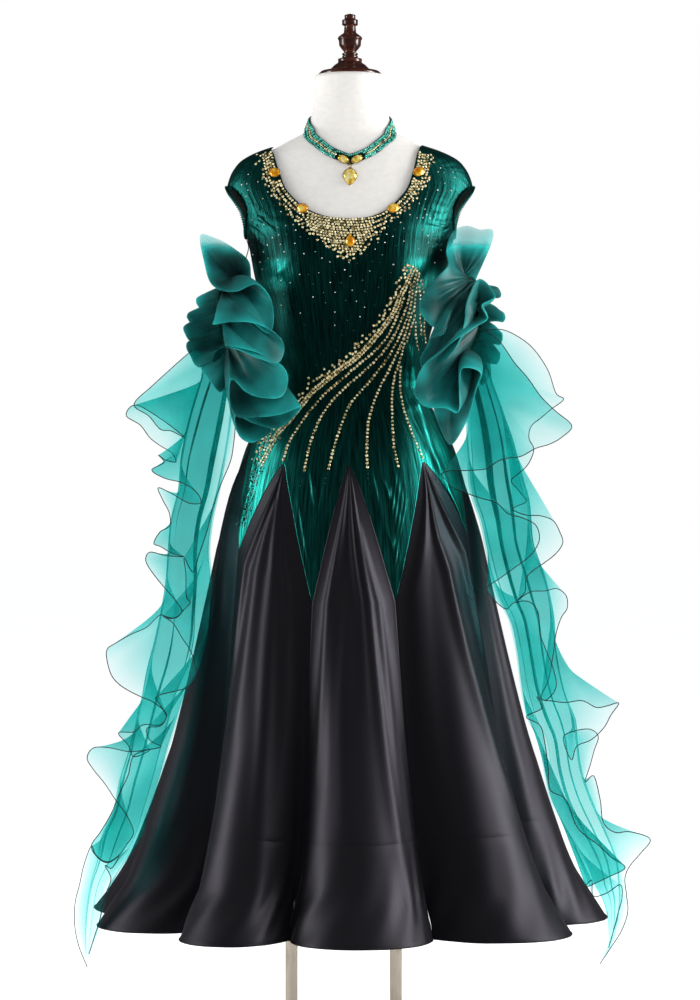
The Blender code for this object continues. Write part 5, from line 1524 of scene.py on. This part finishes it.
def organza_points(ribs, u, v, look, level=None):
    """Points of a gathered strip. u runs along it; v from its sewn edge, 0, to its free edge, 1."""
    values = through(ribs, u)
    sewn, free = values[..., :3], values[..., 3:6]
    step = 0.5 / (len(ribs) - 1)
    after, before = through(ribs, np.clip(u + step, 0, 1)), through(ribs, np.clip(u - step, 0, 1))
    ahead = unit((after - before)[..., :3] + (after - before)[..., 3:6])
    reach = free - sewn
    normal = unit(np.cross(reach, ahead))
    way = normal if level is None else normal * 0 + level
    length = np.linalg.norm(reach, axis=-1)
    gathers, depth, bulge, flute, flutes = look
    bow = bulge * length * np.sin(np.pi * v) * np.sin(2 * np.pi * flutes * 0.31 * u + 0.7)
    fine = np.sin(2 * np.pi * gathers * u + 1.7 * np.sin(2 * np.pi * gathers * 0.117 * u))
    pleat = depth * fine * (1 - v) ** 1.2 * np.clip(6 * v, 0.25, 1)
    wide = flute * v**1.5 * np.sin(2 * np.pi * flutes * u + 1.1 * np.sin(2 * np.pi * flutes * 0.21 * u))
    return sewn + reach * v[..., None] + way * (bow + pleat + wide)[..., None], normal


def organza_strip(ribs, columns, rows, look, folded=0.0, gap=0.006, level=None):
    """A sheet of organza from ribs of (sewn x, y, z, free x, y, z, closeness), and its free edge."""

    def place(u, v):
        if folded:
            side = np.where(v < 0.5, -1.0, 1.0)
            v = 1 - np.abs(2 * v - 1)
            v = np.sin(np.pi / 2 * v) ** 0.9
        points, normal = organza_points(ribs, u, v, look, level)
        if folded:
            thick = folded * np.sqrt(np.clip(1 - v**6, 0, 1)) * (0.25 + 0.75 * v)
            points = points + normal * (side * thick)[..., None]
        return clear_of_dress(points, gap)

    def closeness(u, v, z):
        if folded:
            sheer = 1 - 0.85 * np.clip((z - SHEER_FROM) / SHEER_OVER, 0, 1)
            # Lowest at the fold's rim, where the doubled organza paints its highlight, and highest at the
            # sewn edge, where its painted shade is deepest.
            return sheer * (0.95 - 0.75 * (1 - abs(2 * v - 1)) ** 0.8)
        free = np.interp(u, np.linspace(0, 1, len(ribs)), ribs[:, 6])
        return free + (0.42 - 0.5 * free) * (1 - v)

    bm = grid_of(columns, rows, place)
    mark_gather(bm, closeness)
    u = np.linspace(0, 1, columns + 1)
    return bm, place(u, 0 * u + (0.5 if folded else 1.0))


def mark_gather(bm, closeness):
    """How close the cloth lies at each point of a sheet, from u, v and height, as the attribute gather."""
    uv = bm.loops.layers.uv["UVMap"]
    gather = bm.verts.layers.float.new("gather")
    for face in bm.faces:
        for loop in face.loops:
            loop.vert[gather] = closeness(*np.clip(loop[uv].uv, 0, 1), loop.vert.co.z)


def make_ruffle(side, s, half, columns):
    """A doubled ruffle gathered onto one half of an armband."""
    deg, column, row, y = RUFFLES[f"{half}_{side}"].T
    free = np.stack(seen_at(column, row, y), -1).round(3)
    sewn = ring_point(s, deg, RING_R + SEWN_ON)
    ribs = np.column_stack([sewn, free[:, 0], y, free[:, 1]])
    bm, _ = organza_strip(ribs, columns, 28, (46, 0.0016, 0.10, 0.0012, 19), folded=0.0030)
    node = f"ruffle_{half}_{side}"
    made = cloth_piece(node + "_organza", node, bm, DOUBLED, options().organza_thickness, offset=0.0)


def panel_table(side):
    """A float panel from its tail up: height, x of its outer and of its inner side, y."""
    row, outer, inner, y = PANELS[side].T
    (first, height), (second, _) = seen_at(outer, row, y), seen_at(inner, row, y)
    return np.column_stack([height, first, second, y]).round(3)[::-1]


def panel_sides(table, heights):
    """Points of a float panel's outer and inner sides at heights."""
    outer, inner, fore = unstacked(along(table, heights))
    half = np.abs(outer - inner) / 2
    first = np.stack([outer, fore + 0.45 * half, heights], -1)
    return first, np.stack([inner, fore - 0.45 * half, heights], -1)


def make_panel(side, s):
    table = panel_table(side)
    ring = ring_point(s, (-50.0, -88.0), RING_R + SEWN_ON)
    ribs = np.vstack([ring.reshape(6), np.hstack(panel_sides(table, table[::-1, 0]))])
    folds = 2.7 if s < 0 else 3.2

    def place(u, v):
        values = through(ribs, v)
        outer, across = values[..., :3], values[..., 3:] - values[..., :3]
        wide = np.linalg.norm(across, axis=-1)
        ahead = unit(np.cross(across, np.array((0.0, 0.0, 1.0)) * s) + 1e-9)
        drift = 0.55 * np.sin(2.6 * v + 0.5) + 0.20 * np.sin(8 * v + s)
        drift = drift + 0.16 * np.sin(9 * u + 4 * v + s) * np.sin(5 * v + 2 * u)
        turn = 2 * np.pi * (folds * u + drift + 0.10 * np.sin(5 * u + 6 * v))
        lap = (0.075 - 0.040 * v) * np.sin(turn) + 0.024 * np.sin(1.9 * turn + 7 * v)
        lap = lap * np.sin(np.pi * np.clip(u, 0, 1)) ** 0.5 * np.clip(9 * v, 0, 1)
        deep = wide * (0.16 - 0.06 * v) * np.cos(turn) + 0.05 * wide * np.cos(2.3 * turn + 3 * v)
        fine = 0.0008 * np.sin(2 * np.pi * (31 * u + 3 * drift)) * np.exp(-v / 0.20)
        held = np.sin(np.pi * np.clip(u, 0, 1)) ** 0.4
        points = outer + across * (u + lap)[..., None] + ahead * ((deep + fine) * held)[..., None]
        return clear_of_dress(points, 0.007)

    def closeness(u, v, _):
        return (0.04 + 0.91 * (1 - v) ** 0.75) * (1 - 0.6 * np.clip((u - 0.66) / 0.2, 0, 1))

    bm = grid_of(96, 130, place)
    mark_gather(bm, closeness)
    node = f"float_panel_{side}"
    made = cloth_piece(node + "_organza", node, bm, SHEER, options().organza_thickness, offset=0.0)


def make_flounce(side, edge):
    """A flounce sewn down one side of a float panel, its free edge rolled with black thread."""
    sewn_row, column, row, y, close = FLOUNCES[f"{edge}_{side}"].T
    depth = FLOAT_FORE + FLOAT_LEAN * (sewn_row - FLOAT_TOP)
    height = seen_at(VIEW_COLUMN, sewn_row, depth)[1].round(4)
    free = np.stack(seen_at(column, row, y), -1).round(3)
    own, other = panel_sides(panel_table(side), height)[:: 1 if edge == "outer" else -1]
    sewn = 0.96 * own + 0.04 * other
    ribs = np.column_stack([sewn, free[:, 0], y, free[:, 1], close])
    look = (58, 0.0012, 0.05, 0.0022, 23)
    bm, line = organza_strip(ribs, 5 * len(ribs), 18, look, level=np.array((0.0, -1.0, 0.2)))
    node = f"float_flounce_{edge}_{side}"
    made = cloth_piece(node + "_organza", node, bm, SHEER, options().organza_thickness, offset=0.0)
    cord = piece(node + "_edge", tube(line, options().edge_radius, 6), [black_thread()], slot="organza")


def make_armband(side, s):
    def place(u, v):
        wave = np.sin(2 * np.pi * 38 * u + 1.3 * np.sin(2 * np.pi * 7 * u))
        radius = RING_R + 0.0011 * wave * np.sin(np.pi * v) - 0.0004
        return ring_point(s, 360 * u, radius, (v - 0.5) * RING_WIDE)

    node = f"armband_{side}"
    bm = welded(grid_of(228, 8, place))
    made = cloth_piece(node + "_elastic", node, bm, JERSEY, ELASTIC_SHELL, offset=0.0)


def make_loop(side, s):
    end = ring_point(s, 66.0, RING_R + 0.0016)
    start = []
    for height in (1.393, 1.378):
        x = float(body(90.0, height)[0]) + CLOTH + CLEAR
        start.append((s * x, -0.002, height))
    start = np.array(start)
    line = [start[0], start[1]] + [start[1] + (end - start[1]) * share for share in (0.33, 0.67, 1.0)]
    ribs = np.array([np.concatenate([p - (0, 0.004, 0), p + (0, 0.004, 0)]) for p in line])

    def place(u, v):
        values = through(ribs, v)
        points = values[..., :3] + (values[..., 3:] - values[..., :3]) * u[..., None]
        points[..., 0] += s * (0.0006 * np.sin(np.pi * u) + 0.0007)
        return points

    node = f"float_loop_{side}"
    bm = outward_facing(grid_of(6, 40, place))
    cloth_piece(node + "_elastic", node, bm, ELASTIC, ELASTIC_SHELL, offset=0.0)


def make_floats():
    for side, s in SIDES.items():
        make_loop(side, s)
        make_armband(side, s)
        make_ruffle(side, s, "front", 360)
        make_ruffle(side, s, "back", 200)
        make_panel(side, s)
        make_flounce(side, "outer")
        make_flounce(side, "inner")


# ---------------------------------------------------------------- form and stand
def make_form():
    low, high = FORM[0][0], FORM[-1][0]

    def place(u, v):
        height = low + (high - low) * v
        points = section(FORM, 360 * u, height)
        rim = 0.0012 * np.exp(-((high - height) / 0.0012) ** 2)
        centre = np.stack([0 * u, 0 * u, height], -1)
        return points - unit(points - centre) * rim[..., None]

    bm = welded(grid_of(120, 150, place))
    bmesh.ops.holes_fill(bm, edges=[edge for edge in bm.edges if edge.is_boundary], sides=0)
    bmesh.ops.recalc_face_normals(bm, faces=bm.faces)
    piece("form_torso_linen", bm, [linen()], slot="linen", replaces=["form_torso"])
    base = FORM[-1][0] + CLEAR
    profile = [(0.0, 0.0)] + turned_profile(FINIAL) + [(0.0, FINIAL[-1][1] + 0.0028)]
    bm = lathe([(radius, base + height) for radius, height in profile], 64)
    piece("finial_turned", bm, [mahogany()], slot="mahogany", replaces=["finial"])


def turned_profile(rows):
    """A finer profile through the rows of a turning."""
    fine = []
    for (r1, h1), (r2, h2) in zip(rows[:-1], rows[1:]):
        for share in (0.0, 1 / 3, 2 / 3):
            fine.append((r1 + (r2 - r1) * share, h1 + (h2 - h1) * share))
    return fine + [rows[-1]]


def make_stand():
    for name in ("post_right", "post_left"):
        low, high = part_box(name)
        bm = bmesh.new()
        radius = (high[0] - low[0]) / 2
        sizes = {"radius1": radius, "radius2": radius, "depth": high[2] - low[2]}
        bmesh.ops.create_cone(bm, cap_ends=True, segments=48, **sizes)
        rims = [edge for edge in bm.edges if abs(edge.verts[0].co.z - edge.verts[1].co.z) < 1e-6]
        bmesh.ops.bevel(bm, geom=rims, offset=0.0007, segments=2, profile=0.5, affect="EDGES", material=-1)
        middle = [(a + b) / 2 for a, b in zip(low, high)]
        bmesh.ops.translate(bm, vec=middle, verts=bm.verts)
        piece(name + "_tube", bm, [post_paint()], slot="post_paint", replaces=[name])
    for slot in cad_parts["base_plate"].material_slots:
        slot.material = post_paint()


# ---------------------------------------------------------------- stage
def area_light(name, place, aim, size, power):
    data = bpy.data.lights.new(name, "AREA")
    data.shape = "RECTANGLE"
    data.size, data.size_y = size
    data.energy = power
    lamp = bpy.data.objects.new(name, data)
    lamp.location = place
    lamp.rotation_euler = (Vector(aim) - Vector(place)).to_track_quat("-Z", "Y").to_euler()
    bpy.context.scene.collection.objects.link(lamp)
    return lamp


def make_world():
    """White to the camera, soft all round, and dark in reflections, as in a studio hung with black."""
    world = bpy.data.worlds.new("Studio")
    world.use_nodes = True
    tree = world.node_tree
    tree.nodes.clear()
    path = add(tree, "ShaderNodeLightPath")
    seen = add(tree, "ShaderNodeBackground", {"Color": (1, 1, 1, 1), "Strength": 1.0})
    soft = add(tree, "ShaderNodeBackground", {"Color": (0.94, 0.97, 1.0, 1), "Strength": options().fill})
    dark = add(tree, "ShaderNodeBackground", {"Color": (1, 1, 1, 1), "Strength": options().reflected})
    inputs = {0: path.outputs["Is Glossy Ray"], 1: soft.outputs[0], 2: dark.outputs[0]}
    lit = add(tree, "ShaderNodeMixShader", inputs)
    inputs = {0: path.outputs["Is Camera Ray"], 1: lit.outputs[0], 2: seen.outputs[0]}
    shown = add(tree, "ShaderNodeMixShader", inputs)
    add(tree, "ShaderNodeOutputWorld", {"Surface": shown.outputs[0]})
    bpy.context.scene.world = world


def make_floor():
    made, _, shader, _ = blank("Floor")
    finish(shader, Base_Color=(0.80, 0.80, 0.80, 1), Roughness=0.9, Specular_IOR_Level=0.0)
    finish(shader, Emission_Color=(1, 1, 1, 1), Emission_Strength=0.62)
    bm = bmesh.new()
    bmesh.ops.create_grid(bm, x_segments=2, y_segments=2, size=40.0)
    mesh = bpy.data.meshes.new("floor")
    bm.to_mesh(mesh)
    bm.free()
    mesh.materials.append(made)
    floor = bpy.data.objects.new("floor", mesh)
    floor.visible_glossy = False
    bpy.context.scene.collection.objects.link(floor)


def make_stage():
    scene = bpy.context.scene
    scene.view_settings.view_transform = "Standard"
    scene.cycles.transparent_max_bounces = 40
    camera_data = bpy.data.cameras.new("Camera")
    camera_data.lens = 104.65
    camera_data.sensor_width = 36
    camera = bpy.data.objects.new("Camera", camera_data)
    camera.location = (0, -VIEW_FROM, VIEW_HEIGHT)
    camera.rotation_euler = (math.pi / 2, 0, 0)
    scene.collection.objects.link(camera)
    scene.camera = camera
    make_world()
    make_floor()
    middle = (0, 0, 1.0)
    key = options().key
    area_light("Left strip", (-2.6, -0.35, 1.25), middle, (0.8, 2.4), 42 * key)
    area_light("Right strip", (2.6, -0.25, 1.25), middle, (0.8, 2.4), 46 * key)
    soft = [
        area_light("Back left", (-1.9, 2.4, 1.6), middle, (1.2, 2.2), 16 * key),
        area_light("Back right", (1.9, 2.4, 1.6), middle, (1.2, 2.2), 16 * key),
        area_light("Front fill", (0.3, -4.6, 3.4), middle, (2.4, 1.4), 26 * key),
    ]
    for lamp in soft:
        lamp.visible_glossy = False
    area_light("Hip light", (2.05, -0.5, 2.1), (0.12, -0.1, 1.05), (0.8, 1.5), 26 * key)


# ---------------------------------------------------------------- add-on
def colour(name, description, default):
    limits = {"size": 3, "min": 0, "max": 1}
    return FloatVectorProperty(name=name, description=description, subtype="COLOR", default=default, **limits)


def length(name, description, default, least):
    return FloatProperty(name=name, description=description, unit="LENGTH", default=default, min=least)


class DressSettings(bpy.types.PropertyGroup):
    foil_colour: colour("Foil colour", "Colour of the metallic jersey", (0.018, 0.40, 0.34))
    satin_colour: colour("Satin colour", "Colour of the skirt", (0.0056, 0.0050, 0.0066))
    organza_colour: colour("Organza colour", "Colour of the floats and ruffles", (0.013, 0.30, 0.285))
    linen_colour: colour("Linen colour", "Colour of the dress form's cover", (0.80, 0.77, 0.73))
    jersey_thickness: length("Jersey", "Thickness of the foil jersey", SHELL, 0.0002)
    satin_thickness: length("Satin", "Thickness of the satin", SHELL, 0.0002)
    organza_thickness: length("Organza", "Thickness of one organza layer", SHEER_SHELL, 0.0001)
    piping_radius: length("Hem piping", "Radius of the piping along the hem", 0.0015, 0.0003)
    edge_radius: length("Rolled edge", "Radius of the organza's rolled edges", 0.0008, 0.0002)
    stone_pitch: length("Stone pitch", "Distance between small stones of the neckline", 0.0053, 0.002)
    key: FloatProperty(name="Key lights", description="Share of the studio lights' power", default=1.0, min=0)
    fill: FloatProperty(name="Fill", description="Strength of the light from all round", default=0.50, min=0)
    reflected: FloatProperty(
        name="Surroundings", description="Strength of the surroundings in reflections", default=0.035, min=0
    )


class DRESS_OT_stage(bpy.types.Operator):
    """Set up the camera, the lights, the floor and the world"""

    bl_idname = "dress.stage"
    bl_label = "Stage"
    bl_options = {"REGISTER", "UNDO"}

    def execute(self, context):
        make_stage()
        return {"FINISHED"}


class DRESS_OT_stand(bpy.types.Operator):
    """Build the dress form with its finial, and the posts"""

    bl_idname = "dress.stand"
    bl_label = "Form and stand"
    bl_options = {"REGISTER", "UNDO"}

    def execute(self, context):
        make_form()
        make_stand()
        return {"FINISHED"}


class DRESS_OT_bodice(bpy.types.Operator):
    """Build the foil bodice and the bindings of its armholes"""

    bl_idname = "dress.bodice"
    bl_label = "Bodice"
    bl_options = {"REGISTER", "UNDO"}

    def execute(self, context):
        make_bodice()
        make_armholes()
        return {"FINISHED"}


class DRESS_OT_skirt(bpy.types.Operator):
    """Build the skirt's gores and hem bands"""

    bl_idname = "dress.skirt"
    bl_label = "Skirt"
    bl_options = {"REGISTER", "UNDO"}

    def execute(self, context):
        make_skirt()
        make_hem_bands()
        return {"FINISHED"}


class DRESS_OT_choker(bpy.types.Operator):
    """Build the beaded choker with its pendant"""

    bl_idname = "dress.choker"
    bl_label = "Choker and pendant"
    bl_options = {"REGISTER", "UNDO"}

    def execute(self, context):
        make_choker()
        make_pendant()
        return {"FINISHED"}


class DRESS_OT_stones(bpy.types.Operator):
    """Set the large and the small stones of the bodice"""

    bl_idname = "dress.stones"
    bl_label = "Stones"
    bl_options = {"REGISTER", "UNDO"}

    def execute(self, context):
        set_stones(NECK_STONES, body, CLOTH + CLEAR, "Amber glass")
        make_neck_stones()
        make_fan_stones()
        make_loose_stones()
        return {"FINISHED"}


class DRESS_OT_floats(bpy.types.Operator):
    """Build the armbands with their loops, ruffles and long organza floats"""

    bl_idname = "dress.floats"
    bl_label = "Arm floats"
    bl_options = {"REGISTER", "UNDO"}

    def execute(self, context):
        make_floats()
        return {"FINISHED"}


OPERATORS = (
    DRESS_OT_stage,
    DRESS_OT_stand,
    DRESS_OT_bodice,
    DRESS_OT_skirt,
    DRESS_OT_choker,
    DRESS_OT_stones,
    DRESS_OT_floats,
)


class DRESS_PT_panel(bpy.types.Panel):
    """Lists the dress's colours, sizes and pieces"""

    bl_idname = "DRESS_PT_panel"
    bl_label = "Ballroom Dance Dress"
    bl_space_type = "VIEW_3D"
    bl_region_type = "UI"
    bl_category = "Dress"

    def draw(self, context):
        settings = context.scene.dance_dress
        for name in DressSettings.__annotations__:
            self.layout.prop(settings, name)
        for kind in OPERATORS:
            self.layout.operator(kind.bl_idname)


def register():
    for kind in (DressSettings, *OPERATORS, DRESS_PT_panel):
        bpy.utils.register_class(kind)
    bpy.types.Scene.dance_dress = PointerProperty(type=DressSettings)


def unregister():
    del bpy.types.Scene.dance_dress
    for kind in reversed((DressSettings, *OPERATORS, DRESS_PT_panel)):
        bpy.utils.unregister_class(kind)


def main():
    register()
    bpy.ops.dress.stage()
    bpy.ops.dress.stand()
    bpy.ops.dress.bodice()
    bpy.ops.dress.skirt()
    bpy.ops.dress.choker()
    bpy.ops.dress.stones()
    bpy.ops.dress.floats()


if __name__ == "__main__":
    main()
